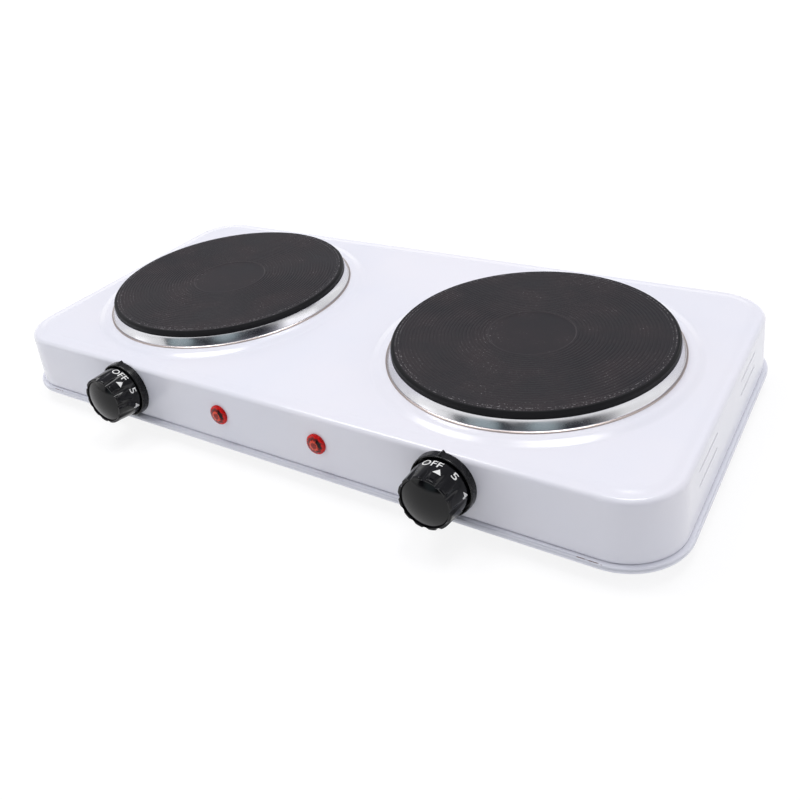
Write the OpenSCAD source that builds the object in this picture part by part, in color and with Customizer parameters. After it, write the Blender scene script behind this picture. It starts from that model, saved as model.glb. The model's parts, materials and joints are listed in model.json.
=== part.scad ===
// Double hot plate: two cast-iron plates on a pressed steel housing, with a
// rotary control and a pilot lamp for each plate on the front wall.
// Millimetres, +Z up, front towards -Y, standing on its rubber feet at z = 0.

/* [Burners] */
// Distance between the centres of the two burners
burner_pitch = 221; // [212:1:230]
// Offset of the burners from the middle of the cover, towards the rear
burner_y = -1.5; // [-2:0.5:2]
// Diameter of a cast-iron plate
plate_d = 155; // [150:1:158]
// Height of a plate's cooking face above its collar
plate_stand = 9.3; // [8.5:0.1:12]
// Thickness of the rim of a plate
plate_rim_t = 3.3; // [2.5:0.1:4.5]
// Width of the ledge under a plate's rim
plate_ledge_w = 4.3; // [3:0.1:6]
// Depth of a plate's casting below its rim
plate_skirt_h = 6.7; // [5:0.1:8]
// Thickness of a plate's wall round the heating element
plate_wall_t = 4; // [3:0.5:6]
// Chamfer on a plate's upper edge
plate_chamfer = 1; // [0.5:0.1:1.5]
// Diameter of the smooth disc in the middle of a plate
plate_disc_d = 47; // [40:1:56]
// How far the smooth disc lies below the grooved face
plate_disc_depth = 0.4; // [0.2:0.1:0.8]
// Distance between two turned grooves
groove_pitch = 2; // [1.6:0.1:4]
// Depth of a turned groove
groove_depth = 0.2; // [0.1:0.05:0.4]
// How far the trim ring's foot stands out past the plate's edge
ring_reach = 3.75; // [3:0.25:5]
// Thickness of the trim ring's sheet
ring_t = 0.7; // [0.5:0.1:1]
// How far the cover's sheet reaches in under the plate's edge
sheet_reach = 2; // [1:0.25:3]
// Thickness of the insulating body that holds the heating wire
element_t = 3.1; // [2:0.1:4]
// Thickness of the lid under the heating element
lid_t = 0.8; // [0.5:0.1:1]
// Diameter of the reflector's floor
reflector_floor_d = 120; // [100:1:126]
// Depth of the reflector below the cover's sheet
reflector_h = 15.5; // [13:0.5:17]
// Thickness of the reflector's sheet
reflector_t = 0.6; // [0.4:0.1:1]
// Width of the reflector's flange
reflector_flange_w = 6; // [5:0.5:7]
// Length of the clamp bar under a reflector
bar_l = 110; // [70:1:112]
// Width of a clamp bar
bar_w = 16; // [14:1:24]
// Thickness of a clamp bar
bar_t = 2; // [1.5:0.1:3]
// Diameter of the stud that clamps a plate
stud_d = 6; // [5:0.5:8]
// Width across the flats of a stud's nut
nut_w = 10; // [9:0.5:13]
// Height of a stud's nut
nut_h = 5; // [4:0.5:6]
// Distance of the element's terminal pins from the middle of a plate
terminal_r = 42; // [30:1:48]
// Diameter of a terminal pin
terminal_d = 2.5; // [2:0.5:4]
// Outer diameter of the ceramic bead round a terminal pin
bead_d = 7; // [6:0.5:9]

/* [Cover] */
// Height of the cover, from its lower edge to its upper edge
cover_h = 32.8; // [32.8:0.2:44]
// How far each wall leans out from its upper edge to its lower edge
wall_flare = 2.9; // [1:0.1:5]
// Radius of the cover's corners, seen from above, at the upper edge
corner_r = 28; // [22:1:36]
// Outside radius of the bend from a wall to the top
edge_r = 3; // [2:0.5:5]
// Thickness of the cover's sheet steel
sheet_t = 0.8; // [0.6:0.1:1.2]
// Width of the flat margin round the raised panel
panel_margin = 7; // [4:0.5:8]
// Width of the sloping step from the margin to the raised panel
panel_slope = 1.5; // [1:0.5:3]
// Height of the raised panel above the margin
panel_rise = 0.8; // [0.4:0.1:1.5]
// Flat strip of the panel between a collar and the panel's step, at each end
panel_end_w = 5.5; // [4:0.5:30]
// Flat strip of the panel between a collar and the panel's step, front and rear
panel_side_w = 3; // [2.5:0.5:20]
// Distance from a trim ring's foot to the outer edge of its collar
collar_margin = 9.75; // [8:0.25:11]
// Width of the collar's slope
collar_slope = 6; // [3:0.5:7]
// Height of each collar above the panel
collar_rise = 1.7; // [1:0.1:3]
// Length of a vent slit in an end wall
slit_l = 32; // [20:1:40]
// Width of a vent slit
slit_w = 1.2; // [0.8:0.1:2]
// Distance between the middles of the two groups of slits in an end wall
slit_pitch = 80; // [60:1:84]
// Offset of the slits from the middle of an end wall, towards the front
slit_offset = 4.5; // [0:0.5:6]
// Height of the lower row of slits above the cover's lower edge
slit_low_h = 16.6; // [8:0.2:17]
// Height of the upper row of slits above the lower row
slit_row_pitch = 8.5; // [6:0.5:12]

/* [Base] */
// Thickness of the base pan's sheet steel
pan_t = 0.8; // [0.6:0.1:1.5]
// How far the pan stands out past the cover's lower edge
lip_w = 2.6; // [2:0.1:5]
// Height of the pan's turned-down edge
lip_h = 2.8; // [2.2:0.1:4]
// Gap between the pan and the cover's lower edge
seam_gap = 0.6; // [0.3:0.1:0.8]
// Gap between the pan's turned-down edge and the table
ground_gap = 8; // [6:0.5:14]
// Length of a vent slot in the pan
pan_slot_l = 44; // [30:1:60]
// Width of a vent slot in the pan
pan_slot_w = 4; // [2:0.5:6]
// Distance between two vent slots in the pan
pan_slot_pitch = 12; // [9:0.5:16]
// Number of vent slots under each burner
pan_slot_count = 5; // [3:1:7]

/* [Feet and posts] */
// Distance of each foot in from the cover's upper edges
foot_inset = 25.5; // [20:0.5:28]
// Diameter of a rubber foot where it meets the pan
foot_d = 19; // [15:0.5:24]
// Diameter of a rubber foot at the table
foot_tip_d = 15.5; // [13:0.5:20]
// Diameter of the posts that hold the pan to the cover
post_d = 8; // [7:0.5:11]
// Diameter of the foot screws
foot_screw_d = 4; // [3:0.5:5]
// Length of a foot screw below its head
foot_screw_l = 16; // [14:1:24]

/* [Controls] */
// Height of the knobs and lamps above the cover's lower edge
control_h = 16.6; // [16.5:0.1:19]
// Diameter of a knob's bezel where it meets the wall
bezel_d = 34.2; // [33:0.2:34.2]
// Height of a bezel in front of the wall
bezel_h = 4.6; // [4:0.1:6]
// Thickness of a bezel's floor
bezel_floor_t = 1.2; // [1:0.1:1.4]
// Thickness of a bezel's ring
bezel_ring_t = 0.8; // [0.6:0.1:1.4]
// Largest diameter of a knob's skirt
skirt_d = 30.8; // [28:0.2:31]
// Diameter of a knob at its front
tip_d = 29; // [27:0.2:30]
// Distance from the wall to the middle of a knob's cap
knob_reach = 22; // [20:0.5:28]
// Number of flutes round a knob's grip
flute_count = 12; // [8:1:16]
// Depth of a flute at the knob's front
flute_depth = 1.4; // [0.8:0.1:1.6]
// Radius of the dome on a knob's cap
cap_dome_r = 34; // [30:1:80]
// Diameter of a control's shaft
shaft_d = 6; // [5:0.5:7]
// Angle of the knob's raised arrow, clockwise from the upright at OFF
arrow_a = 15; // [0:1:30]
// How far the left knob is turned on from OFF, in degrees
left_knob_turn = 29; // [0:1:60]
// Width of a thermostat's body
thermostat_w = 30; // [26:1:36]
// Height of a thermostat's body
thermostat_h = 26; // [22:1:28]
// Depth of a thermostat's body
thermostat_depth = 18; // [14:1:20]
// Distance between the pilot lamps
lamp_pitch = 69; // [50:1:90]
// Offset of the two lamps from the middle of the front wall, towards the left
lamp_offset = 0.7; // [-3:0.1:3]
// Diameter of a pilot lamp's lens
lens_d = 11.8; // [10:0.2:14]
// How far a lens stands out from the wall
lens_h = 3; // [2:0.2:5]
// Diameter of the hole in the wall for a lamp
lamp_hole_d = 10; // [9:0.1:10]

/* [Supply] */
// Distance of the cord gland from the middle of the rear wall
gland_x = 60; // [40:1:90]
// Diameter of the cord that the gland takes
cord_d = 7; // [6:0.1:8]
// Outer diameter of the gland's flanges
gland_d = 17; // [15:0.5:20]
// Diameter of the hole in the rear wall for the gland
gland_hole_d = 13; // [12:0.5:14]
// Diameter of a lead inside the housing, over its sleeve
lead_d = 2.4; // [2:0.2:3]

/* [Fits] */
// Running clearance round a turning shaft
run_gap = 0.05; // [0.02:0.01:0.1]
// Clearance round a piece that passes through a hole
pass_gap = 0.3; // [0.2:0.05:0.5]
// Clearance between a threaded piece and its hole
thread_gap = 0.03; // [0.01:0.01:0.05]

/* [Hidden] */
$fn = 96;

LEFT = -1;
RIGHT = 1;
SIDES = [LEFT, RIGHT];
FRONT = 0;
EAST = 90;
BACK = 180;
WEST = 270;

// Plan of the cover, from the plates outwards
ring_d = plate_d + 2 * ring_reach;
burner_hole_d = plate_d - 2 * sheet_reach;
collar_d = ring_d + 2 * collar_margin;
cover_l = burner_pitch + collar_d + 2 * (panel_end_w + panel_slope + panel_margin);
cover_d = collar_d + 2 * (panel_side_w + panel_slope + panel_margin);
burner_x = burner_pitch / 2;

// Levels above the table
pan_z = ground_gap + lip_h - pan_t;
deck_z = pan_z + pan_t;
cover_z = deck_z + seam_gap;
top_z = cover_z + cover_h;
panel_z = top_z + panel_rise;
collar_z = panel_z + collar_rise;
collar_under_z = collar_z - sheet_t;
plate_z = collar_z + plate_stand;
ledge_z = plate_z - plate_rim_t;
plate_bottom_z = ledge_z - plate_skirt_h;
ring_seat_z = ledge_z - ring_t;
lid_inset = 0.4;
lid_z = plate_bottom_z + lid_inset;
element_z = lid_z + lid_t;
element_top_z = element_z + element_t;
reflector_z = collar_under_z - reflector_h;
bar_z = reflector_z - bar_t;
washer_t = 1;
nut_z = bar_z - washer_t - nut_h;
control_z = cover_z + control_h;

// Walls
flare_a = atan(wall_flare / cover_h);
bottom_l = cover_l + 2 * wall_flare;
bottom_d = cover_d + 2 * wall_flare;
bottom_r = corner_r + wall_flare;
margin_end = corner_r - panel_margin;
panel_lap = 1;
panel_r = margin_end - panel_slope - panel_lap;
corner_x = cover_l / 2 - corner_r;
corner_y = cover_d / 2 - corner_r;
pan_edge_w = 6;
hem_w = 0.3;
hem_inset = 0.45;

// Knobs
shaft_hole_d = 1.33 * shaft_d;
skirt_z = bezel_floor_t + 0.9;
cone_z = skirt_z + 1.9;
cap_r = tip_d / 2 - 1.9;
cap_z = knob_reach - cap_dome_r + sqrt(cap_dome_r * cap_dome_r - cap_r * cap_r);
tip_z = cap_z + 0.2;
cavity_d = 24.6;
hub_d = 9.6;
cavity_top_z = 8.4;
shaft_end_z = 15;
shaft_tail_z = -12;
flat_depth = 1.2;

// The frame: the knobs' caps are the foremost points, the pan's rear edge is the rearmost
wall_y = cover_d / 2 + wall_flare * (top_z - control_z) / cover_h;
front_y = -wall_y + (cap_dome_r - knob_reach) * cos(flare_a) - cap_dome_r;
rear_y = bottom_d / 2 + lip_w;
frame_y = -(front_y + rear_y) / 2;

// ---------------------------------------------------------------- placing

module in_frame() {
    translate([0, frame_y, 0]) children();
}

// Puts children on the outside of a wall: local Z points straight out of the
// wall, local Y up along it and local X along it, to the right as it is faced.
module on_wall(side, along, height) {
    half = (side == FRONT || side == BACK ? cover_d : cover_l) / 2;
    out = half + wall_flare * (top_z - height) / cover_h;
    rotate(side)
        translate([along, -out, height])
            rotate([90 - flare_a, 0, 0])
                children();
}

module at_burner(side) {
    translate([side * burner_x, burner_y, 0]) children();
}

module at_control(side) {
    on_wall(FRONT, side * burner_x, control_z) children();
}

function lamp_x(side) = side * lamp_pitch / 2 - lamp_offset;

module at_lamp(side) {
    on_wall(FRONT, lamp_x(side), control_z) children();
}

module at_foot(side_x, side_y) {
    translate([side_x * (cover_l / 2 - foot_inset), side_y * (cover_d / 2 - foot_inset), 0]) children();
}

module at_feet() {
    for (side_x = SIDES, side_y = SIDES) at_foot(side_x, side_y) children();
}

// ---------------------------------------------------------------- shapes

function arc(centre, r, from, to, steps) =
    [for (i = [0 : steps]) let (t = from + (to - from) * i / steps) centre + r * [cos(t), sin(t)]];

// A soft S from one point of a pressed section to another
function pressed(from, to, steps = 6) =
    [for (i = [0 : steps]) let (t = i / steps)
        [from.x + (to.x - from.x) * t, from.y + (to.y - from.y) * (1 - cos(180 * t)) / 2]];

// Runs a profile, drawn with x outwards from the corner centres, round a rounded rectangle.
module round_rectangle(half_x, half_y) {
    for (q = [0 : 3]) {
        out = q % 2 == 0 ? half_x : half_y;
        run = q % 2 == 0 ? half_y : half_x;
        rotate(90 * q) {
            translate([out, run, 0]) rotate_extrude(angle = 90) children();
            translate([out, 0, 0]) rotate([90, 0, 0]) linear_extrude(2 * run, center = true) children();
        }
    }
}

module round_plate(half_x, half_y, r, t) {
    linear_extrude(t) {
        square([2 * half_x, 2 * (half_y + r)], center = true);
        square([2 * (half_x + r), 2 * half_y], center = true);
        for (x = SIDES, y = SIDES) translate([x * half_x, y * half_y]) circle(r);
    }
}

module slot_2d(length, width) {
    square([length - width, width], center = true);
    for (end = SIDES) translate([end * (length - width) / 2, 0]) circle(d = width);
}

module ring(outer_d, inner_d, t) {
    rotate_extrude() translate([inner_d / 2, 0]) square([(outer_d - inner_d) / 2, t]);
}

module pan_screw(d, length, head_d, head_h) {
    rotate_extrude()
        polygon(concat(
            [[0, -length], [d / 2, -length], [d / 2, 0], [head_d / 2, 0], [head_d / 2, head_h * 0.4]],
            arc([head_d / 2 - head_h * 0.6, head_h * 0.4], head_h * 0.6, 0, 90, 4),
            [[0, head_h]]));
}

// ---------------------------------------------------------------- housing

// Section of the cover from its lower edge over the bend to the raised panel
module cover_section() {
    bend_u = corner_r - edge_r * (1 - sin(flare_a)) / cos(flare_a);
    bend = [bend_u, cover_h - edge_r];
    lower_u = corner_r + wall_flare;
    step_out = [margin_end, cover_h];
    step_in = [margin_end - panel_slope, cover_h + panel_rise];
    under = [0, -sheet_t];
    polygon(concat(
        [[lower_u, 0]],
        arc(bend, edge_r, flare_a, 90, 8),
        pressed(step_out, step_in),
        [[panel_r, step_in.y], [panel_r, step_in.y - sheet_t]],
        pressed(step_in + under, step_out + under),
        arc(bend, edge_r - sheet_t, 90, flare_a, 8),
        [[lower_u - sheet_t / cos(flare_a), 0]]));
}

module collar() {
    foot = [collar_d / 2, panel_z];
    flat = [collar_d / 2 - collar_slope, collar_z];
    under = [0, -sheet_t];
    lap = [panel_lap, 0];
    hole_r = burner_hole_d / 2;
    rotate_extrude()
        polygon(concat([foot + lap], pressed(foot, flat), [[hole_r, collar_z], [hole_r, collar_under_z]],
            pressed(flat + under, foot + under), [foot + lap + under]));
}

module wall_slits(side) {
    forward = side == EAST ? -slit_offset : slit_offset;
    for (group = SIDES, row = [0, 1])
        on_wall(side, forward + group * slit_pitch / 2, cover_z + slit_low_h + row * slit_row_pitch)
            translate([0, 0, -2 * sheet_t]) linear_extrude(3 * sheet_t) slot_2d(slit_l, slit_w);
}

module top_cover() {
    color("whitesmoke") in_frame() {
        difference() {
            union() {
                translate([0, 0, cover_z]) round_rectangle(corner_x, corner_y) cover_section();
                difference() {
                    translate([0, 0, panel_z - sheet_t]) round_plate(corner_x, corner_y, panel_r, sheet_t);
                    for (side = SIDES)
                        at_burner(side) translate([0, 0, panel_z - 2 * sheet_t])
                            cylinder(d = collar_d, h = 3 * sheet_t);
                }
                for (side = SIDES) at_burner(side) collar();
            }
            for (side = SIDES) {
                at_control(side) wall_hole(shaft_hole_d);
                at_control(side) at_thermostat_screws() wall_hole(thermostat_screw_d + 2 * pass_gap);
                at_lamp(side) wall_hole(lamp_hole_d);
            }
            at_gland() wall_hole(gland_hole_d);
            wall_slits(EAST);
            wall_slits(WEST);
        }
    }
}

module wall_hole(d) {
    translate([0, 0, -2 * sheet_t]) cylinder(d = d, h = 3 * sheet_t);
}

// Section of the pan's edge: a flat lip with its outer edge turned down
module pan_section() {
    outer_u = bottom_r + lip_w;
    bend_r = 1.15 * pan_t;
    inner_u = bottom_r - pan_edge_w;
    polygon(concat(
        [[inner_u, lip_h - pan_t], [outer_u - bend_r, lip_h - pan_t]],
        arc([outer_u - bend_r, lip_h - bend_r], bend_r - pan_t, 90, 0, 3),
        [[outer_u - pan_t, 0], [outer_u, 0]],
        arc([outer_u - bend_r, lip_h - bend_r], bend_r, 0, 90, 4),
        [[inner_u, lip_h]]));
}

module base_pan() {
    color("gainsboro") in_frame() {
        difference() {
            union() {
                translate([0, 0, ground_gap]) round_rectangle(corner_x, corner_y) pan_section();
                translate([0, 0, pan_z]) round_plate(corner_x, corner_y, bottom_r - pan_edge_w, pan_t);
            }
            at_feet() pan_hole(foot_screw_d + 2 * pass_gap);
            at_terminal_block() at_block_screws() pan_hole(block_screw_d + 2 * pass_gap);
            at_earth() pan_hole(block_screw_d + 2 * pass_gap);
            for (side = SIDES) at_burner(side) pan_slots();
            hem_seam(corner_x, bottom_d / 2 + lip_w, FRONT);
            hem_seam(corner_x, bottom_d / 2 + lip_w, BACK);
            hem_seam(corner_y, bottom_l / 2 + lip_w, EAST);
            hem_seam(corner_y, bottom_l / 2 + lip_w, WEST);
        }
    }
}

// Fine groove along the outer edge of a straight run of the lip
module hem_seam(half_run, out, side) {
    rotate(side) translate([-half_run, -out + hem_inset, deck_z - pan_t / 2])
        cube([2 * half_run, hem_w, pan_t]);
}

module pan_hole(d) {
    translate([0, 0, pan_z - pan_t]) cylinder(d = d, h = 3 * pan_t);
}

module pan_slots() {
    for (i = [0 : pan_slot_count - 1])
        translate([0, (i - (pan_slot_count - 1) / 2) * pan_slot_pitch, pan_z - pan_t])
            linear_extrude(3 * pan_t) slot_2d(pan_slot_l, pan_slot_w);
}

module support_posts() {
    color("silver") in_frame() {
        at_feet() translate([0, 0, deck_z])
            ring(post_d, foot_screw_d + 2 * thread_gap, panel_z - sheet_t - deck_z);
    }
}

foot_head_d = 2.1 * foot_screw_d;
foot_head_h = 0.55 * foot_screw_d;
foot_seat_z = 4.6;

module rubber_foot() {
    color("dimgray") rotate_extrude()
        polygon([[foot_screw_d / 2 + pass_gap, foot_seat_z], [foot_head_d / 2 + 0.8, foot_seat_z],
            [foot_head_d / 2 + 0.8, 0], [foot_tip_d / 2 - 0.8, 0], [foot_tip_d / 2, 0.8],
            [foot_d / 2, pan_z - 1.5], [foot_d / 2, pan_z], [foot_screw_d / 2 + pass_gap, pan_z]]);
}

module foot_front_left() {
    in_frame() at_foot(LEFT, LEFT) rubber_foot();
}

module foot_front_right() {
    in_frame() at_foot(RIGHT, LEFT) rubber_foot();
}

module foot_rear_left() {
    in_frame() at_foot(LEFT, RIGHT) rubber_foot();
}

module foot_rear_right() {
    in_frame() at_foot(RIGHT, RIGHT) rubber_foot();
}

module foot_screws() {
    color("silver") in_frame() {
        at_feet() translate([0, 0, foot_seat_z]) rotate([180, 0, 0])
            pan_screw(foot_screw_d, foot_screw_l, foot_head_d, foot_head_h);
    }
}

// ---------------------------------------------------------------- burners

body_r = plate_d / 2 - plate_ledge_w;
cavity_r = body_r - plate_wall_t;
boss_r = stud_d / 2 + 8;
groove_start = plate_disc_d / 2 + 1.5;
groove_count = floor((plate_d / 2 - plate_chamfer - 1 - groove_start) / groove_pitch);

// Section of a plate: grooved face, rim, ledge, and the cavity round the central boss
module plate_section() {
    grooves = [for (i = [0 : groove_count - 1]) let (r = groove_start + i * groove_pitch)
        each [[r, plate_z], [r + groove_pitch * 0.3, plate_z - groove_depth],
            [r + groove_pitch * 0.6, plate_z]]];
    polygon(concat(
        [[0, plate_z - plate_disc_depth], [plate_disc_d / 2, plate_z - plate_disc_depth],
            [plate_disc_d / 2 + plate_disc_depth, plate_z]],
        grooves,
        [[plate_d / 2 - plate_chamfer, plate_z], [plate_d / 2, plate_z - plate_chamfer],
            [plate_d / 2, ledge_z], [body_r, ledge_z], [body_r, plate_bottom_z],
            [cavity_r, plate_bottom_z], [cavity_r, element_top_z],
            [boss_r, element_top_z], [boss_r, plate_bottom_z - 1],
            [stud_d / 2 + thread_gap, plate_bottom_z - 1], [stud_d / 2 + thread_gap, plate_z - 4],
            [0, plate_z - 4]]));
}

module heating_plate(side) {
    color("dimgray") in_frame() at_burner(side) rotate_extrude() plate_section();
}

module heating_plate_left() {
    heating_plate(LEFT);
}

module heating_plate_right() {
    heating_plate(RIGHT);
}

// Section of a trim ring: a flange under the plate's rim, a hollow flare and a foot on the collar
module ring_section() {
    seat_r = plate_d / 2 + 0.5;
    foot_r = ring_d / 2;
    inner_r = body_r + 0.4;
    flare_r = foot_r - 0.9 - seat_r;
    flare_z = collar_z + ring_t;
    rise = ledge_z - flare_z;
    steps = 12;
    curve = [for (i = [0 : steps]) let (t = 90 * i / steps)
        [seat_r + flare_r * (1 - cos(t)), ledge_z - rise * sin(t)]];
    back = [for (i = [steps : -1 : 0]) let (t = 90 * i / steps)
        [seat_r - ring_t + flare_r * (1 - cos(t)), ring_seat_z - rise * sin(t)]];
    polygon(concat(
        [[inner_r, ledge_z]],
        curve,
        [[foot_r, flare_z], [foot_r, collar_z]],
        back,
        [[inner_r, ring_seat_z]]));
}

module trim_ring(side) {
    color("silver") in_frame() at_burner(side) rotate_extrude() ring_section();
}

module trim_ring_left() {
    trim_ring(LEFT);
}

module trim_ring_right() {
    trim_ring(RIGHT);
}

pin_a = 16;

module at_terminals(side) {
    for (end = SIDES) rotate(90 + side * 90 + end * pin_a) translate([terminal_r, 0, 0]) children();
}

pin_end_z = reflector_z - 8;

module heating_element(side) {
    color("lightgray") in_frame() at_burner(side) {
        translate([0, 0, element_z]) ring(2 * (cavity_r - pass_gap), 2 * (boss_r + pass_gap), element_t);
        at_terminals(side) translate([0, 0, pin_end_z])
            cylinder(d = terminal_d, h = element_z + 0.5 - pin_end_z);
    }
}

module heating_element_left() {
    heating_element(LEFT);
}

module heating_element_right() {
    heating_element(RIGHT);
}

module element_lid(side) {
    color("silver") in_frame() at_burner(side) difference() {
        translate([0, 0, lid_z]) ring(2 * (cavity_r - pass_gap), 2 * (boss_r + pass_gap), lid_t);
        at_terminals(side) translate([0, 0, lid_z - lid_t])
            cylinder(d = bead_d + 2 * pass_gap, h = 3 * lid_t);
    }
}

module element_lid_left() {
    element_lid(LEFT);
}

module element_lid_right() {
    element_lid(RIGHT);
}

module terminal_beads(side) {
    bead_z = reflector_z - 4;
    color("ivory") in_frame() at_burner(side) at_terminals(side)
        translate([0, 0, bead_z]) ring(bead_d, terminal_d + 2 * thread_gap, element_z - bead_z);
}

module terminal_beads_left() {
    terminal_beads(LEFT);
}

module terminal_beads_right() {
    terminal_beads(RIGHT);
}

// A tapered dish: flange against the cover's sheet, sloping wall and flat floor
module reflector(side) {
    top_r = burner_hole_d / 2 - 1.5;
    flange_r = top_r + reflector_flange_w;
    floor_r = reflector_floor_d / 2;
    t = reflector_t;
    color("lightgray") in_frame() at_burner(side) difference() {
        rotate_extrude()
            polygon([[0, reflector_z], [floor_r, reflector_z], [top_r + t, collar_under_z - t],
                [flange_r, collar_under_z - t], [flange_r, collar_under_z],
                [top_r, collar_under_z], [floor_r - t, reflector_z + t], [0, reflector_z + t]]);
        translate([0, 0, reflector_z - t]) cylinder(d = stud_d + 2 * pass_gap, h = 3 * t);
        at_terminals(side) translate([0, 0, reflector_z - t]) cylinder(d = bead_d + 2 * pass_gap, h = 3 * t);
    }
}

module reflector_left() {
    reflector(LEFT);
}

module reflector_right() {
    reflector(RIGHT);
}

module clamp_bar(side) {
    color("silver") in_frame() at_burner(side) translate([0, 0, bar_z]) difference() {
        linear_extrude(bar_t) rotate(90) slot_2d(bar_l, bar_w);
        translate([0, 0, -bar_t]) cylinder(d = stud_d + 2 * pass_gap, h = 3 * bar_t);
    }
}

module clamp_bar_left() {
    clamp_bar(LEFT);
}

module clamp_bar_right() {
    clamp_bar(RIGHT);
}

module plate_stud(side) {
    stud_z = nut_z - 2;
    color("silver") in_frame() at_burner(side) translate([0, 0, stud_z])
        cylinder(d = stud_d, h = plate_z - 5 - stud_z);
}

module plate_stud_left() {
    plate_stud(LEFT);
}

module plate_stud_right() {
    plate_stud(RIGHT);
}

module stud_washers() {
    color("silver") in_frame() for (side = SIDES)
        at_burner(side) translate([0, 0, bar_z - washer_t])
            ring(2.1 * stud_d, stud_d + 2 * pass_gap, washer_t);
}

module stud_nuts() {
    color("silver") in_frame() for (side = SIDES) at_burner(side) translate([0, 0, nut_z]) difference() {
        cylinder(d = nut_w / cos(30), h = nut_h, $fn = 6);
        translate([0, 0, -1]) cylinder(d = stud_d + 2 * thread_gap, h = nut_h + 2);
    }
}

// ---------------------------------------------------------------- controls

thermostat_screw_d = 3;
thermostat_screw_r = 9;
bracket_t = 1.5;
bracket_z = -sheet_t - bracket_t;
screw_bite = 2.5;

module at_thermostat_screws() {
    for (end = SIDES) translate([end * thermostat_screw_r, 0, 0]) children();
}

// Shallow cup with a pointer at its top, held to the wall by the thermostat's screws
module knob_bezel(side) {
    front_d = bezel_d - 0.4;
    color("#1c1c1e") in_frame() at_control(side) difference() {
        union() {
            rotate_extrude()
                polygon([[0, 0], [bezel_d / 2, 0], [bezel_d / 2, 0.6], [front_d / 2, bezel_h - 0.4],
                    [front_d / 2 - 0.4, bezel_h], [front_d / 2 - bezel_ring_t, bezel_h],
                    [front_d / 2 - bezel_ring_t, bezel_floor_t], [0, bezel_floor_t]]);
            linear_extrude(bezel_h - 0.6)
                polygon([[-2, bezel_d / 2 - 0.8], [2, bezel_d / 2 - 0.8], [0, bezel_d / 2 + 1.4]]);
        }
        translate([0, 0, -1]) cylinder(d = shaft_hole_d, h = bezel_h);
        at_thermostat_screws() translate([0, 0, -1])
            cylinder(d = thermostat_screw_d + 2 * pass_gap, h = bezel_h);
    }
}

module knob_bezel_left() {
    knob_bezel(LEFT);
}

module knob_bezel_right() {
    knob_bezel(RIGHT);
}

// Outside and cavity of a knob as one section: skirt, tapered grip, rounded tip and domed cap
module knob_section() {
    tip_r = tip_d / 2;
    round_r = 0.9;
    polygon(concat(
        [[hub_d / 2, skirt_z + 1], [hub_d / 2, cavity_top_z], [cavity_d / 2 - 2.4, cavity_top_z],
            [cavity_d / 2, cone_z], [cavity_d / 2, skirt_z], [skirt_d / 2, skirt_z], [skirt_d / 2, cone_z]],
        arc([tip_r - round_r, tip_z - round_r], round_r, 0, 90, 4),
        [[cap_r + 0.25, tip_z], [cap_r, cap_z]],
        [for (i = [1 : 6]) let (r = cap_r * (1 - i / 6))
            [r, knob_reach - cap_dome_r + sqrt(cap_dome_r * cap_dome_r - r * r)]],
        [[0, skirt_z + 1]]));
}

// Scallops that deepen towards the knob's front; the arrow lies midway between two of them
module flutes() {
    cut_r = 1.9;
    start_z = 9;
    run = tip_z - start_z;
    lean = atan((flute_depth + (skirt_d - tip_d) / 2 * run / (tip_z - cone_z)) / run);
    for (i = [0 : flute_count - 1])
        rotate(90 - arrow_a + (i + 0.5) * 360 / flute_count)
            translate([tip_d / 2 - flute_depth + cut_r, 0, tip_z])
                rotate([0, -lean, 0]) translate([0, 0, -knob_reach])
                    cylinder(r = cut_r, h = 2 * knob_reach, $fn = 32);
}

// Raised arrow along the grip, with its point towards the skirt
module pointer_ridge() {
    head_z = 9.6;
    end_z = tip_z - 1.4;
    stand = 0.5;
    intersection() {
        rotate(-arrow_a) rotate([-90, 0, 0]) linear_extrude(skirt_d)
            polygon([[0, -head_z], [2.6, -head_z - 3.8], [1.3, -head_z - 3.8], [1.3, -end_z],
                [-1.3, -end_z], [-1.3, -head_z - 3.8], [-2.6, -head_z - 3.8]]);
        translate([0, 0, cone_z])
            cylinder(d1 = skirt_d + 2 * stand, d2 = tip_d + 2 * stand, h = tip_z - cone_z);
    }
}

module knob(side, turn) {
    color("#1c1c1e") in_frame() at_control(side) rotate(-turn) difference() {
        union() {
            difference() {
                rotate_extrude() knob_section();
                flutes();
            }
            difference() {
                pointer_ridge();
                cylinder(d = tip_d - 3, h = knob_reach);
            }
        }
        translate([0, 0, skirt_z]) control_bore();
    }
}

module control_bore() {
    d = shaft_d + 2 * thread_gap;
    difference() {
        cylinder(d = d, h = shaft_end_z + pass_gap - skirt_z);
        translate([-d, d / 2 - flat_depth, 0]) cube([2 * d, d, knob_reach]);
    }
}

module knob_left() {
    knob(LEFT, left_knob_turn);
}

module knob_right() {
    knob(RIGHT, 0);
}

module control_shaft(side, turn) {
    color("silver") in_frame() at_control(side) rotate(-turn) difference() {
        translate([0, 0, shaft_tail_z]) cylinder(d = shaft_d, h = shaft_end_z - shaft_tail_z);
        translate([-shaft_d, shaft_d / 2 - flat_depth, skirt_z])
            cube([2 * shaft_d, shaft_d, shaft_end_z]);
    }
}

module control_shaft_left() {
    control_shaft(LEFT, left_knob_turn);
}

module control_shaft_right() {
    control_shaft(RIGHT, 0);
}

module thermostat_bracket(side) {
    color("silver") in_frame() at_control(side) difference() {
        translate([-thermostat_w / 2, -thermostat_h / 2, bracket_z])
            cube([thermostat_w, thermostat_h, bracket_t]);
        translate([0, 0, bracket_z - 1]) cylinder(d = shaft_d + 2 * run_gap, h = bracket_t + 2);
        at_thermostat_screws() translate([0, 0, bracket_z - 1])
            cylinder(d = thermostat_screw_d + 2 * thread_gap, h = bracket_t + 2);
    }
}

module thermostat_bracket_left() {
    thermostat_bracket(LEFT);
}

module thermostat_bracket_right() {
    thermostat_bracket(RIGHT);
}

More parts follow.
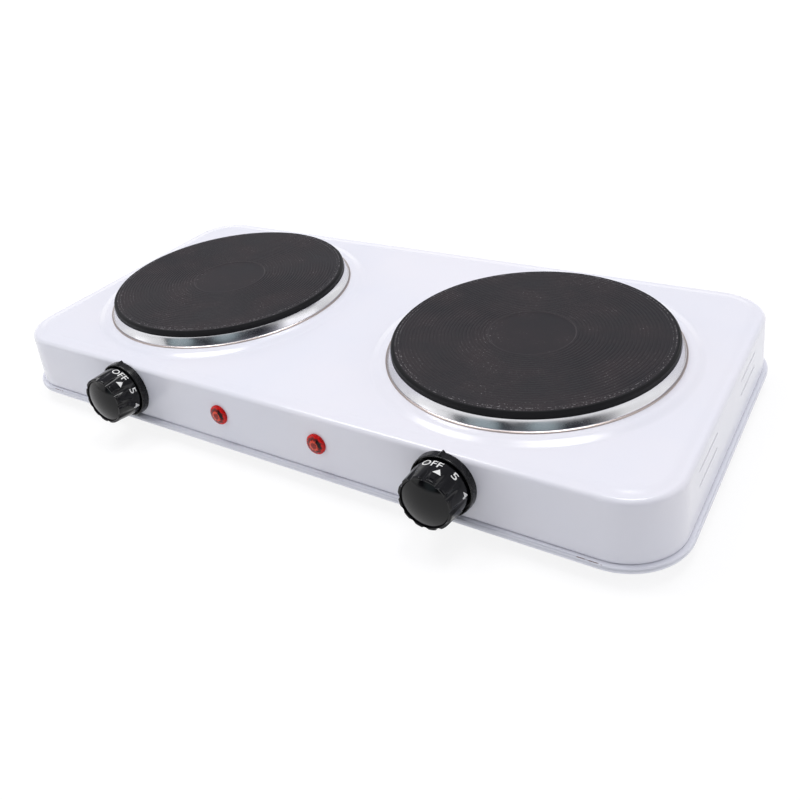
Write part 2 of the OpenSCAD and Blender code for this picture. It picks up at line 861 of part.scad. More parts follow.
tab_w = 6.3;
tab_t = 0.8;
tab_l = 7;
tab_x = 8;
tab_y = 4.7;
step_h = 18.8;
tab_end_z = bracket_z - thermostat_depth - tab_l;

// Ceramic body with a stepped back and four blade terminals
module thermostat(side) {
    back_z = bracket_z - thermostat_depth;
    color("ivory") in_frame() at_control(side) difference() {
        union() {
            translate([-thermostat_w / 2, -thermostat_h / 2, bracket_z - thermostat_depth * 0.6])
                cube([thermostat_w, thermostat_h, thermostat_depth * 0.6]);
            translate([-thermostat_w / 2 + 2, -step_h / 2, back_z])
                cube([thermostat_w - 4, step_h, thermostat_depth]);
            for (x = SIDES, y = SIDES)
                translate([x * tab_x - tab_w / 2, y * tab_y - tab_t / 2, tab_end_z])
                    cube([tab_w, tab_t, tab_l + 1]);
        }
        translate([0, 0, shaft_tail_z - pass_gap]) cylinder(d = shaft_d + 2 * run_gap, h = knob_reach);
        at_thermostat_screws() translate([0, 0, bracket_z - 4])
            cylinder(d = thermostat_screw_d + 2 * pass_gap, h = 5);
    }
}

module thermostat_left() {
    thermostat(LEFT);
}

module thermostat_right() {
    thermostat(RIGHT);
}

module thermostat_screws() {
    color("silver") in_frame() for (side = SIDES)
        at_control(side) at_thermostat_screws() translate([0, 0, bezel_floor_t])
            pan_screw(thermostat_screw_d, bezel_floor_t - bracket_z + screw_bite,
                1.75 * thermostat_screw_d, 0.6 * thermostat_screw_d);
}

lamp_sleeve_t = 0.6;
lamp_stem_d = lamp_hole_d - 2 * lamp_sleeve_t - 0.4;
lamp_depth = 17;
blade_x = 2.4;
blade_t = 0.8;
blade_w = 2.8;
blade_end_z = -lamp_depth - 5;

// Moulded lens: domed head with a raised ring, and a stem inside the lamp's sleeve
module lamp_lens(side) {
    r = lens_d / 2;
    color("firebrick") in_frame() at_lamp(side) rotate_extrude()
        polygon([[0, -8], [lamp_stem_d / 2, -8], [lamp_stem_d / 2, 0], [r, 0], [r, 0.8], [r - 1.1, 1.9],
            [r - 2.3, 2.2], [r - 2.5, 1.9], [r - 2.9, 1.9], [r - 3.1, lens_h - 0.3], [0, lens_h]]);
}

module lamp_lens_left() {
    lamp_lens(LEFT);
}

module lamp_lens_right() {
    lamp_lens(RIGHT);
}

module lamp_body(side) {
    outer_r = lamp_hole_d / 2 - 0.1;
    inner_r = lamp_stem_d / 2 + 0.1;
    color("whitesmoke") in_frame() at_lamp(side) {
        rotate_extrude()
            polygon([[inner_r, 0], [outer_r, 0], [outer_r, -lamp_depth], [0, -lamp_depth],
                [0, -8.3], [inner_r, -8.3]]);
        for (x = SIDES)
            translate([x * blade_x - blade_t / 2, -blade_w / 2, blade_end_z]) cube([blade_t, blade_w, 5.5]);
    }
}

module lamp_body_left() {
    lamp_body(LEFT);
}

module lamp_body_right() {
    lamp_body(RIGHT);
}

module lamp_clips() {
    color("silver") in_frame() for (side = SIDES)
        at_lamp(side) translate([0, 0, -sheet_t - 0.8]) ring(lamp_hole_d + 5, lamp_hole_d, 0.8);
}

// ---------------------------------------------------------------- supply

block_l = 31;
block_w = 17;
block_h = 14;
block_x = 15;
block_y = cover_d / 2 - 40.5;
block_screw_d = 3;
block_screw_l = 7;
earth_screw_l = 4;
way_pitch = 10;
earth_x = -24;
earth_y = cover_d / 2 - 32.5;
lead_z = deck_z + 2.5 * lead_d;
lead_split = lead_d / 2 + 0.1;
lead_run = 12;
lane_pitch = 1.9 * lead_d;
low_lane_z = deck_z + lead_d;
mid_lane_z = low_lane_z + lane_pitch;
high_lane_z = mid_lane_z + lane_pitch;
join_gap = 0.2;
block_front_y = block_y - block_w / 2 + 3;

module at_gland() {
    on_wall(BACK, -gland_x, control_z) children();
}

module at_terminal_block() {
    translate([block_x, block_y, 0]) children();
}

module at_earth() {
    translate([earth_x, earth_y, 0]) children();
}

// Rubber grommet: a flange on each side of the wall and a bore for the cord
module cord_gland() {
    bore_r = cord_d / 2 + 0.1;
    neck_r = gland_hole_d / 2 - 0.1;
    flange_t = 2.4;
    color("#242424") in_frame() at_gland() rotate_extrude()
        polygon([[bore_r, -sheet_t - flange_t], [gland_d / 2 - 0.6, -sheet_t - flange_t],
            [gland_d / 2, -sheet_t - flange_t + 0.6], [gland_d / 2, -sheet_t], [neck_r, -sheet_t],
            [neck_r, 0], [gland_d / 2, 0], [gland_d / 2, flange_t - 0.6], [gland_d / 2 - 0.6, flange_t],
            [bore_r, flange_t]]);
}

module at_block_screws() {
    for (end = SIDES) translate([end * way_pitch / 2, 0, 0]) children();
}

// Three ways: each takes one supply lead at the rear and two leads at the front
module terminal_block() {
    color("whitesmoke") in_frame() at_terminal_block() difference() {
        union() {
            translate([-block_l / 2, -block_w / 2, deck_z]) cube([block_l, block_w, block_h * 0.6]);
            for (i = [-1, 0, 1])
                translate([i * way_pitch - 4.2, -block_w / 2 + 2, deck_z]) cube([8.4, block_w - 4, block_h]);
        }
        at_block_screws() translate([0, 0, deck_z - 1])
            cylinder(d = block_screw_d + 2 * thread_gap, h = block_screw_l + 2);
        for (i = [-1, 0, 1]) translate([i * way_pitch, 0, lead_z]) rotate([90, 0, 0]) {
            translate([0, 0, -block_w]) cylinder(d = lead_d + 2 * pass_gap, h = block_w);
            cylinder(d = 2 * lead_d + 2 * pass_gap, h = block_w);
        }
    }
}

module terminal_block_screws() {
    color("silver") in_frame() at_terminal_block() at_block_screws()
        translate([0, 0, pan_z]) rotate([180, 0, 0])
        pan_screw(block_screw_d, block_screw_l, 1.8 * block_screw_d, 0.6 * block_screw_d);
}

module earth_tag() {
    color("silver") in_frame() at_earth() translate([0, 0, deck_z]) difference() {
        union() {
            cylinder(d = 8, h = 0.8);
            translate([0, -2.5, 0]) cube([13, 5, 0.8]);
        }
        translate([0, 0, -1]) cylinder(d = block_screw_d + 2 * thread_gap, h = 3);
    }
}

module earth_screw() {
    color("silver") in_frame() at_earth() translate([0, 0, pan_z]) rotate([180, 0, 0])
        pan_screw(block_screw_d, earth_screw_l, 1.8 * block_screw_d, 0.6 * block_screw_d);
}

// ---------------------------------------------------------------- leads

// A route with rounded corners: straight at both ends, a quadratic curve at each point between
function rounded_route(p, steps) = [
    p[0],
    for (i = [1 : len(p) - 2], k = [(i == 1 ? 0 : 1) : steps])
        let (t = k / steps, a = (p[i - 1] + p[i]) / 2, c = (p[i] + p[i + 1]) / 2)
            (1 - t) * (1 - t) * a + 2 * t * (1 - t) * p[i] + t * t * c,
    p[len(p) - 1]];

function unit(v) = v / norm(v);

function tangent(p, i) = unit(p[min(i + 1, len(p) - 1)] - p[max(i - 1, 0)]);

module lead(route) {
    faces = 8;
    p = rounded_route(route, 4);
    n = len(p);
    rings = [for (i = [0 : n - 1])
        let (t = tangent(p, i), u = unit(cross(t, [0.31, 0.22, 0.93])), v = cross(t, u))
        for (k = [0 : faces - 1]) p[i] + lead_d / 2 * (u * cos(360 * k / faces) + v * sin(360 * k / faces))];
    sides = [for (i = [0 : n - 2], k = [0 : faces - 1])
        let (a = i * faces + k, b = i * faces + (k + 1) % faces)
        each [[a, b + faces, b], [a, a + faces, b + faces]]];
    ends = [[for (k = [0 : faces - 1]) k], [for (k = [faces - 1 : -1 : 0]) (n - 1) * faces + k]];
    polyhedron(rings, concat(sides, ends));
}

// A point given in a front wall mounting's local axes
function on_front(along, p) = [along + p.x,
    -wall_y + p.y * sin(flare_a) - p.z * cos(flare_a),
    control_z + p.y * cos(flare_a) + p.z * sin(flare_a)];

function pin_end(side, i) = let (t = 90 + side * 90 + i * pin_a)
    [side * burner_x + terminal_r * cos(t), burner_y + terminal_r * sin(t), pin_end_z];

function inward(l) = [0, l * cos(flare_a), -l * sin(flare_a)];

// A point of a route: across as a share of the burners' offset, back as a share of half the depth
function by_plan(side, across, back, height) = [side * across * burner_x, back * cover_d / 2, height];

// Out of the block towards the front, and there down or up to a lane
function from_block(start, lane_z) = [start,
    start - [0, 0.7 * lead_run, 0],
    start - [0, 1.4 * lead_run, start.z - lane_z],
    start - [0, 2.2 * lead_run, start.z - lane_z]];

// Leads of one burner and its lamp: live to the control, control to the element, and the
// neutrals. Each kind crosses the others in a lane of its own.
module burner_leads(side) {
    live = [block_x - way_pitch + side * lead_split, block_front_y, lead_z];
    neutral = [block_x + side * lead_split, block_front_y, lead_z];
    lamp_neutral = [block_x + way_pitch + side * lead_split, block_front_y, lead_z];
    tab = [-side * tab_x, -tab_y, tab_end_z - join_gap];
    live_tab = on_front(side * burner_x, tab);
    out_tab = on_front(side * burner_x, [tab.x, tab_y, tab.z]);
    lamp_tab = on_front(side * burner_x, [-tab.x, -tab_y, tab.z]);
    near_blade = on_front(lamp_x(side), [side * blade_x, 0, blade_end_z - join_gap]);
    far_blade = on_front(lamp_x(side), [-side * blade_x, 0, blade_end_z - join_gap]);
    front_pin = pin_end(side, side) - [0, 0, join_gap];
    rear_pin = pin_end(side, -side) - [0, 0, join_gap];
    drop = [0, 0, 2 * lead_d];
    lead(concat(from_block(live, low_lane_z), [by_plan(side, 0.4, -0.15, low_lane_z),
        by_plan(side, 0.8, -0.48, low_lane_z + lead_d), live_tab + inward(lead_run), live_tab]));
    lead([out_tab, out_tab + inward(lead_run), by_plan(side, 0.85, -0.41, high_lane_z),
        front_pin - drop - [side * lead_d, 2 * lead_d, 0], front_pin - drop, front_pin]);
    lead(concat(from_block(neutral, mid_lane_z), [rear_pin - drop - [side * lead_run, -lead_run / 2, 0],
        rear_pin - drop, rear_pin]));
    lead([lamp_tab, lamp_tab + inward(lead_run), by_plan(side, 1, -0.52, low_lane_z),
        by_plan(side, 0.5, -0.55, low_lane_z), near_blade + inward(lead_run), near_blade]);
    lead(concat(from_block(lamp_neutral, high_lane_z), [by_plan(side, 0.18, 0.1, high_lane_z),
        far_blade + inward(2 * lead_run), far_blade]));
}

module wiring() {
    color("firebrick") in_frame() for (side = SIDES) burner_leads(side);
}

top_cover();
base_pan();
support_posts();
foot_front_left();
foot_front_right();
foot_rear_left();
foot_rear_right();
foot_screws();
heating_plate_left();
heating_plate_right();
trim_ring_left();
trim_ring_right();
heating_element_left();
heating_element_right();
element_lid_left();
element_lid_right();
terminal_beads_left();
terminal_beads_right();
reflector_left();
reflector_right();
clamp_bar_left();
clamp_bar_right();
plate_stud_left();
plate_stud_right();
stud_washers();
stud_nuts();
knob_bezel_left();
knob_bezel_right();
knob_left();
knob_right();
control_shaft_left();
control_shaft_right();
thermostat_left();
thermostat_right();
thermostat_bracket_left();
thermostat_bracket_right();
thermostat_screws();
lamp_lens_left();
lamp_lens_right();
lamp_body_left();
lamp_body_right();
lamp_clips();
cord_gland();
terminal_block();
terminal_block_screws();
earth_tag();
earth_screw();
wiring();
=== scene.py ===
import json
import math

import bmesh
import bpy
from mathutils import Matrix, Vector


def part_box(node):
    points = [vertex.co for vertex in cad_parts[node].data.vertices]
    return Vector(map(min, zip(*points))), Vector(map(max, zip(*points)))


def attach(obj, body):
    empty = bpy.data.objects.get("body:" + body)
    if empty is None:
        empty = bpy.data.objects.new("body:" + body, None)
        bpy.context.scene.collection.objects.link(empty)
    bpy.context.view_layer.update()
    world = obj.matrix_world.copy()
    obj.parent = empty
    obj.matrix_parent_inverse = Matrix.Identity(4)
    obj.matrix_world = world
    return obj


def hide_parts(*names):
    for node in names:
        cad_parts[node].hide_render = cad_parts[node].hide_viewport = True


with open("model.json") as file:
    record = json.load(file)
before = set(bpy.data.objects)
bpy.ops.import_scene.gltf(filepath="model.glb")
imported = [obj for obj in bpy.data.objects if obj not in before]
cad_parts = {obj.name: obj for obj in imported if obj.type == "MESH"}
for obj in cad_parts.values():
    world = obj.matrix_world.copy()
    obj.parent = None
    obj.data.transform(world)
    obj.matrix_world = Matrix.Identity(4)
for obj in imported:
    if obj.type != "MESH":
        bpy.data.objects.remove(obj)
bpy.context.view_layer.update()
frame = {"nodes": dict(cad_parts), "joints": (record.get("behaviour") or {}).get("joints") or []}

nodes = frame["nodes"]

# ------------------------------------------------------------------ camera
# A hand-held view from above the front right corner, rolled a little, so
# that the long front edge runs down to the right. Sizes are in mm.


def corners(node):
    """The lowest and the highest corner of a CAD piece, in mm."""
    return [corner * 1000 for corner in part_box(node)]


cover_from, cover_to = corners("top_cover")
pan_from, pan_to = corners("base_pan")
cover_y = (cover_from.y + cover_to.y) / 2
picture_px, focal_px, distance = 800, 800.42, 491.52
azimuth, elevation, roll = (math.radians(angle) for angle in (35.71, 33.25, -7.44))
target = Vector((30.21, cover_y - 19.81, pan_from.z - 5.85))
back = Vector((
    math.sin(azimuth) * math.cos(elevation),
    -math.cos(azimuth) * math.cos(elevation),
    math.sin(elevation),
))
level = (-back).cross(Vector((0, 0, 1))).normalized()
upright = level.cross(-back)
across = level * math.cos(roll) + upright * math.sin(roll)
rise = upright * math.cos(roll) - level * math.sin(roll)
lens = bpy.data.cameras.new("camera")
lens.sensor_width = 36
lens.lens = lens.sensor_width * focal_px / picture_px
lens.clip_start = 0.02
lens.clip_end = 30
camera = bpy.data.objects.new("camera", lens)
bpy.context.scene.collection.objects.link(camera)
camera.matrix_world = (
    Matrix.Translation((target + back * distance) / 1000)
    @ Matrix((across, rise, back)).transposed().to_4x4()
)
bpy.context.scene.camera = camera
bpy.context.scene.view_settings.view_transform = "Standard"

# ------------------------------------------------------------------ studio
# A matt white board lies under the object and runs on past it. It shows as
# white, and it keeps the object's soft shadow. The studio is set out in m.


def linear(hexcode):
    """Turns an sRGB hex colour into the linear values that a socket takes."""
    rgb = [int(hexcode[i:i + 2], 16) / 255 for i in (1, 3, 5)]
    return [c / 12.92 if c <= 0.04045 else ((c + 0.055) / 1.055) ** 2.4 for c in rgb] + [1]


def add(tree, kind, links=None, **settings):
    """Adds a node; links gives each input a value or another node's output."""
    new = tree.nodes.new("ShaderNode" + kind)
    for name, value in settings.items():
        setattr(new, name, value)
    for key, value in (links or {}).items():
        if isinstance(value, bpy.types.NodeSocket):
            tree.links.new(value, new.inputs[key])
        elif isinstance(value, str) and value.startswith("#"):
            new.inputs[key].default_value = linear(value)
        else:
            new.inputs[key].default_value = value
    return new


def finish(name, colour, roughness, metallic=0.0, **sockets):
    """Starts a material from its even colour, roughness and metal."""
    material = bpy.data.materials.new(name)
    material.use_nodes = True
    tree = material.node_tree
    shader = tree.nodes["Principled BSDF"]
    shader.inputs["Base Color"].default_value = linear(colour)
    shader.inputs["Roughness"].default_value = roughness
    shader.inputs["Metallic"].default_value = metallic
    for key, value in sockets.items():
        shader.inputs[key.replace("_", " ")].default_value = value
    return material, tree, shader


board, tree, shader = finish("matt white board", "#f2f2f2", 0.85)
white_share, board_size = 0.78, 24
glow_start, glow_end, near_glow, far_glow = 0.4, 1.2, 1.08, 1.35
path = add(tree, "LightPath").outputs
seen = path["Is Camera Ray"]
for ray in ("Is Glossy Ray", "Is Transmission Ray"):
    seen = add(tree, "Math", {0: seen, 1: path[ray]}, operation="ADD", use_clamp=True).outputs[0]
share = add(tree, "Math", {0: seen, 1: white_share}, operation="MULTIPLY").outputs[0]
where = add(tree, "TexCoord").outputs["Object"]
away = add(tree, "VectorMath", {0: where}, operation="LENGTH").outputs["Value"]
fade = add(
    tree, "MapRange", {0: away, 1: glow_start, 2: glow_end, 3: near_glow, 4: far_glow},
).outputs[0]
glow = add(tree, "Emission", {"Color": "#ffffff", "Strength": fade})
both = add(tree, "MixShader", {0: share, 1: shader.outputs[0], 2: glow.outputs[0]})
tree.links.new(both.outputs[0], tree.nodes["Material Output"].inputs["Surface"])
bpy.ops.mesh.primitive_plane_add(size=board_size)
floor = bpy.context.object
floor.name = "floor"
floor.data.materials.append(board)

# The room is pale low down and overhead, and dim behind the camera, which
# is what gives polished metal its dark bands.
room = bpy.data.worlds.new("studio room")
room.use_nodes = True
bpy.context.scene.world = room
tree = room.node_tree
way = add(tree, "TexCoord").outputs["Generated"]
height = add(tree, "SeparateXYZ", {0: way}).outputs["Z"]
by_height = add(tree, "ValToRGB", {0: height})
ramp = by_height.color_ramp
ramp.elements[0].position, ramp.elements[0].color = 0.2, linear("#ffffff")
ramp.elements[1].position, ramp.elements[1].color = 1.0, linear("#cacad3")
ramp.elements.new(0.3).color = linear("#a6a6b0")
ramp.elements.new(0.7).color = linear("#adadb7")
dim_way = (0.22, -0.97, 0.1)
facing = add(tree, "VectorMath", {0: way, 1: dim_way}, operation="DOT_PRODUCT").outputs["Value"]
# It is dim on that side only, from the horizon to some 30 degrees up.
dim = 1.0
for measure, low, high, at_low, at_high in (
    (facing, 0.2, 0.65, 0.0, 1.0), (height, 0.0, 0.07, 0.0, 1.0), (height, 0.38, 0.6, 1.0, 0.0),
):
    fall = add(
        tree, "MapRange", {0: measure, 1: low, 2: high, 3: at_low, 4: at_high},
        interpolation_type="SMOOTHSTEP",
    ).outputs[0]
    dim = add(tree, "Math", {0: dim, 1: fall}, operation="MULTIPLY").outputs[0]
tone = add(
    tree, "Mix", {0: dim, 6: by_height.outputs[0], 7: "#24262d"}, data_type="RGBA",
).outputs[2]
# Two pale windows stand in the dim side.
for window in ((0.50, -0.84, 0.21), (-0.20, -0.96, 0.21)):
    near = add(tree, "VectorMath", {0: way, 1: window}, operation="DOT_PRODUCT").outputs["Value"]
    pane = add(
        tree, "MapRange", {0: near, 1: 0.965, 2: 1.0, 3: 0.0, 4: 0.7},
        interpolation_type="SMOOTHSTEP",
    ).outputs[0]
    tone = add(tree, "Mix", {0: pane, 6: tone, 7: "#c4d6dc"}, data_type="RGBA").outputs[2]
# Looked at straight, the room is as white as the board.
seen = add(tree, "LightPath").outputs["Is Camera Ray"]
tone = add(tree, "Mix", {0: seen, 6: tone, 7: "#ffffff"}, data_type="RGBA").outputs[2]
backdrop = tree.nodes["Background"]
tree.links.new(tone, backdrop.inputs["Color"])
backdrop.inputs["Strength"].default_value = 1.0

# Two soft boxes hang above, one stands low in front to the left, and a wide
# one stands to the right. All four are turned to the object's middle.
aim = Vector((0, 0, 0.04))
for name, place, size, power in (
    ("soft box left", (-0.68, 0.06, 1.44), (0.5, 0.5), 6.9),
    ("soft box rear", (0.16, 0.34, 1.54), (0.5, 0.5), 7.0),
    ("soft box front", (-1.15, -1.10, 0.60), (1.0, 1.0), 3.2),
    ("soft box right", (1.50, 0.35, 0.75), (1.2, 0.7), 2.6),
):
    lamp = bpy.data.lights.new(name, "AREA")
    lamp.shape = "RECTANGLE"
    lamp.size, lamp.size_y = size
    lamp.energy = power
    hung = bpy.data.objects.new(name, lamp)
    bpy.context.scene.collection.objects.link(hung)
    hung.location = place
    hung.rotation_euler = (aim - Vector(place)).to_track_quat("-Z", "Y").to_euler()

# ------------------------------------------------------------------ cover
# The cover is pressed from steel sheet and finished in stoved gloss enamel.
# The enamel flows a little before it sets, so it has a faint orange peel.
enamel, tree, shader = finish("stoved gloss enamel", "#f0f0f6", 0.17, IOR=1.52)
place = add(tree, "TexCoord").outputs["Object"]
peel = add(tree, "TexNoise", {"Vector": place, "Scale": 1 / 0.0035, "Detail": 2.0}).outputs[0]
bump = add(tree, "Bump", {"Strength": 0.6, "Distance": 0.000008, "Height": peel})
tree.links.new(bump.outputs[0], shader.inputs["Normal"])
cloud = add(tree, "TexNoise", {"Vector": place, "Scale": 1 / 0.09, "Detail": 3.0}).outputs[0]
shade = add(tree, "MapRange", {0: cloud, 1: 0.35, 2: 0.65, 3: 0.0, 4: 1.0}).outputs[0]
tone = add(tree, "Mix", {0: shade, 6: "#eeeff6", 7: "#f2f1f6"}, data_type="RGBA").outputs[2]
# Dust in the coat leaves a rare dark pinhole, less than a millimetre wide.
pin = add(tree, "TexVoronoi", {"Vector": place, "Scale": 1 / 0.045}, feature="F1")
pin = pin.outputs["Distance"]
pinhole = add(tree, "MapRange", {0: pin, 1: 0.006, 2: 0.010, 3: 1.0, 4: 0.0}).outputs[0]
tone = add(tree, "Mix", {0: pinhole, 6: tone, 7: "#8f8f96"}, data_type="RGBA").outputs[2]
tree.links.new(tone, shader.inputs["Base Color"])
rough = add(tree, "MapRange", {0: cloud, 1: 0.3, 2: 0.7, 3: 0.13, 4: 0.22}).outputs[0]
tree.links.new(rough, shader.inputs["Roughness"])


def assign(material, *names):
    """Gives CAD pieces their finish."""
    for name in names:
        slots = nodes[name].data.materials
        slots.clear()
        slots.append(material)


def place_piece(name, shape, where, materials, body, replaced, sharp):
    """Sets a mesh drawn in mm in its place, and lets it ride on its body."""
    local = shape.verts.layers.float_vector.new("local")
    for v in shape.verts:
        v[local] = v.co
    for face in shape.faces:
        face.smooth = True
    shape.transform(where @ Matrix.Scale(0.001, 4))
    mesh = bpy.data.meshes.new(name)
    shape.to_mesh(mesh)
    shape.free()
    for material in materials:
        mesh.materials.append(material)
    mesh.set_sharp_from_angle(angle=math.radians(sharp))
    piece = bpy.data.objects.new(name, mesh)
    bpy.context.scene.collection.objects.link(piece)
    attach(piece, body)
    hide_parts(*replaced)
    return piece


# Heights and outer sizes come from the CAD cover's box. The walls flare out
# towards their foot, and u is a distance out from a corner's centre.
sheet_t, wall_flare, corner_r = 0.8, 2.9, 28
half_l, half_d = cover_to.x - wall_flare, cover_to.y - cover_y - wall_flare
corner_x, corner_y = half_l - corner_r, half_d - corner_r
cover_low, collar_z = cover_from.z, cover_to.z
panel_z = collar_z - 1.7
margin_z = panel_z - 0.8
wall_h = margin_z - cover_low
wall_lean = math.atan(wall_flare / wall_h)
edge_r, edge_steps, corner_steps = 3.0, 12, 24
bend_u = corner_r - edge_r * (1 - math.sin(wall_lean)) / math.cos(wall_lean)
foot_u = corner_r + wall_flare
step_out, step_in, flat_u, step_rows = 25.0, 18.9, 18.75, 18
# Each knob's joint gives its place, and its burner lies in line with it.
controls = {joint["child"]: joint for joint in frame["joints"]}
burner_x, control_z = (controls["right_control"]["pos_m"][i] * 1000 for i in (0, 2))
burner_y = -1.5


def pressed(start, end, steps):
    """A soft S from one point of a pressed section to another."""
    return [
        (start[0] + (end[0] - start[0]) * i / steps,
         start[1] + (end[1] - start[1]) * (1 - math.cos(math.pi * i / steps)) / 2)
        for i in range(1, steps + 1)
    ]


# The section runs from the lower edge over the bend to the panel. It is swept
# round the four corners and drawn out along the four walls between them.
section = (
    [(foot_u, cover_low), (foot_u - 0.03, cover_low + 0.4)]
    + [(bend_u + edge_r * math.cos(a), margin_z - edge_r + edge_r * math.sin(a))
       for a in (wall_lean + (math.pi / 2 - wall_lean) * i / edge_steps
                 for i in range(edge_steps + 1))]
    + pressed((step_out, margin_z), (step_in, panel_z), step_rows)
    + [(flat_u, panel_z)]
)
cover = bmesh.new()
chain = [cover.verts.new((corner_x + u, -corner_y, z)) for u, z in section]
loose = chain + [cover.edges.new(pair) for pair in zip(chain, chain[1:])]
for x, y, run in (
    (corner_x, corner_y, (0, 2 * corner_y, 0)), (-corner_x, corner_y, (-2 * corner_x, 0, 0)),
    (-corner_x, -corner_y, (0, -2 * corner_y, 0)), (corner_x, -corner_y, (2 * corner_x, 0, 0)),
):
    edges = [g for g in loose if isinstance(g, bmesh.types.BMEdge)]
    drawn = bmesh.ops.extrude_edge_only(cover, edges=edges)
    moved = [g for g in drawn["geom"] if isinstance(g, bmesh.types.BMVert)]
    bmesh.ops.translate(cover, verts=moved, vec=run)
    loose = [g for g in drawn["geom"] if not isinstance(g, bmesh.types.BMFace)]
    swept = bmesh.ops.spin(
        cover, geom=loose, cent=(x, y, 0), axis=(0, 0, 1),
        angle=math.pi / 2, steps=corner_steps,
    )
    loose = [g for g in swept["geom_last"] if not isinstance(g, bmesh.types.BMFace)]
bmesh.ops.remove_doubles(cover, verts=cover.verts, dist=1e-3)

# Each collar is pressed up round its burner, and its sheet ends at the hole.
collar_foot, collar_top, hole_r, round_steps = 91.0, 84.4, 75.5, 192
collar = (
    [(collar_foot + 0.3, panel_z), (collar_foot + 0.15, panel_z)]
    + pressed((collar_foot, panel_z), (collar_top, collar_z), step_rows)
    + [(collar_top - 0.3, collar_z), (hole_r, collar_z)]
)
for side in (-1, 1):
    middle = Vector((side * burner_x, burner_y, 0))
    chain = [cover.verts.new(middle + Vector((r, 0, z))) for r, z in collar]
    edges = [cover.edges.new(pair) for pair in zip(chain, chain[1:])]
    bmesh.ops.spin(
        cover, geom=chain + edges, cent=middle, axis=(0, 0, 1),
        angle=2 * math.pi, steps=round_steps, use_merge=True,
    )
bmesh.ops.remove_doubles(cover, verts=cover.verts, dist=1e-3)
rim = [
    e for e in cover.edges
    if e.is_boundary and all(abs(v.co.z - panel_z) < 1e-3 for v in e.verts)
]
bmesh.ops.triangle_fill(cover, use_beauty=True, use_dissolve=False, edges=rim, normal=(0, 0, 1))
bmesh.ops.recalc_face_normals(cover, faces=cover.faces)
if max(cover.faces, key=lambda f: f.calc_center_median().z).normal.z < 0:
    bmesh.ops.reverse_faces(cover, faces=cover.faces)
stock = place_piece(
    "pressed_cover", cover, Matrix.Translation((0, cover_y / 1000, 0)), [enamel],
    "housing", ["top_cover"], sharp=50,
)
sheet = stock.modifiers.new("sheet", "SOLIDIFY")
sheet.thickness = sheet_t / 1000
sheet.offset = -1


# The slits and the holes for shafts, lamps, screws and cord are punched.
def on_wall(side_angle, along, height):
    """A place on a wall, with local Z straight out and local X along it."""
    half = half_d if side_angle % 180 == 0 else half_l
    out = half + wall_flare * (margin_z - height) / wall_h
    return (
        Matrix.Translation((0, cover_y / 1000, 0))
        @ Matrix.Rotation(math.radians(side_angle), 4, "Z")
        @ Matrix.Translation((along / 1000, -out / 1000, height / 1000))
        @ Matrix.Rotation(math.pi / 2 - wall_lean, 4, "X")
    )


punch = bmesh.new()
punch_depth = 6


def punch_round(where, diameter, length=0.0):
    """A punch for a round hole, or for a slit of that length and width."""
    made = bmesh.ops.create_cone(
        punch, cap_ends=True, segments=48,
        radius1=diameter / 2, radius2=diameter / 2, depth=punch_depth,
    )["verts"]
    stretch = max(length - diameter, 0) / 2
    for v in made:
        if abs(v.co.x) > 1e-6:
            v.co.x += math.copysign(stretch, v.co.x)
    bmesh.ops.transform(punch, matrix=where @ Matrix.Scale(0.001, 4), verts=made)


slit_w, slit_l, slit_heights = 0.65, 32, (28.0, 36.5)
slit_pair, slit_back = 40, 4.5
for side_angle, forward in ((90, -slit_back), (270, slit_back)):
    for group in (-slit_pair, slit_pair):
        for height in slit_heights:
            punch_round(on_wall(side_angle, forward + group, height), slit_w, slit_l)
shaft_hole, screw_hole, screw_out, lamp_hole, cord_hole = 8, 3.6, 9, 10, 13
lamp_x, lamp_shift, cord_x = 34.5, 0.7, -60
for side in (-1, 1):
    shaft_place = on_wall(0, side * burner_x, control_z)
    punch_round(shaft_place, shaft_hole)
    for aside in (screw_out, -screw_out):
        punch_round(shaft_place @ Matrix.Translation((aside / 1000, 0, 0)), screw_hole)
    punch_round(on_wall(0, side * lamp_x - lamp_shift, control_z), lamp_hole)
punch_round(on_wall(180, cord_x, control_z), cord_hole)
bmesh.ops.recalc_face_normals(punch, faces=punch.faces)
punch_mesh = bpy.data.meshes.new("punch")
punch.to_mesh(punch_mesh)
punch.free()
punches = bpy.data.objects.new("punch", punch_mesh)
bpy.context.scene.collection.objects.link(punches)
holes = stock.modifiers.new("holes", "BOOLEAN")
holes.operation = "DIFFERENCE"
holes.solver = "EXACT"
holes.object = punches
bpy.context.view_layer.update()
punched = stock.evaluated_get(bpy.context.evaluated_depsgraph_get())
finished = bpy.data.meshes.new_from_object(punched)
finished.set_sharp_from_angle(angle=math.radians(40))
stock.modifiers.clear()
plain = stock.data
stock.data = finished
even = stock.modifiers.new("even shading", "WEIGHTED_NORMAL")
even.keep_sharp = True
even.weight = 90
bpy.data.meshes.remove(plain)
bpy.data.objects.remove(punches)

# ------------------------------------------------------------------ pan
# The pan is folded from the same enamelled sheet. Its lip is hemmed along
# the straight sides, and the cut ends of each hem rust a little.
lip_low, lip_edge = pan_from.z + 0.2, pan_to.y - cover_y
seam_in, seam_half, rust_in, rust_half = 0.6, 0.22, 4, 6.0
pan_enamel, tree, shader = finish("stoved enamel on the folded lip", "#f6f7fd", 0.2, IOR=1.52)
place = add(tree, "TexCoord").outputs["Object"]
wave = add(tree, "TexNoise", {"Vector": place, "Scale": 1 / 0.004, "Detail": 2.0}).outputs[0]
millimetres = add(
    tree, "VectorMath", {0: place, 1: (1000, 1000, 1000)}, operation="MULTIPLY",
).outputs[0]
spot = add(tree, "SeparateXYZ", {0: millimetres}).outputs
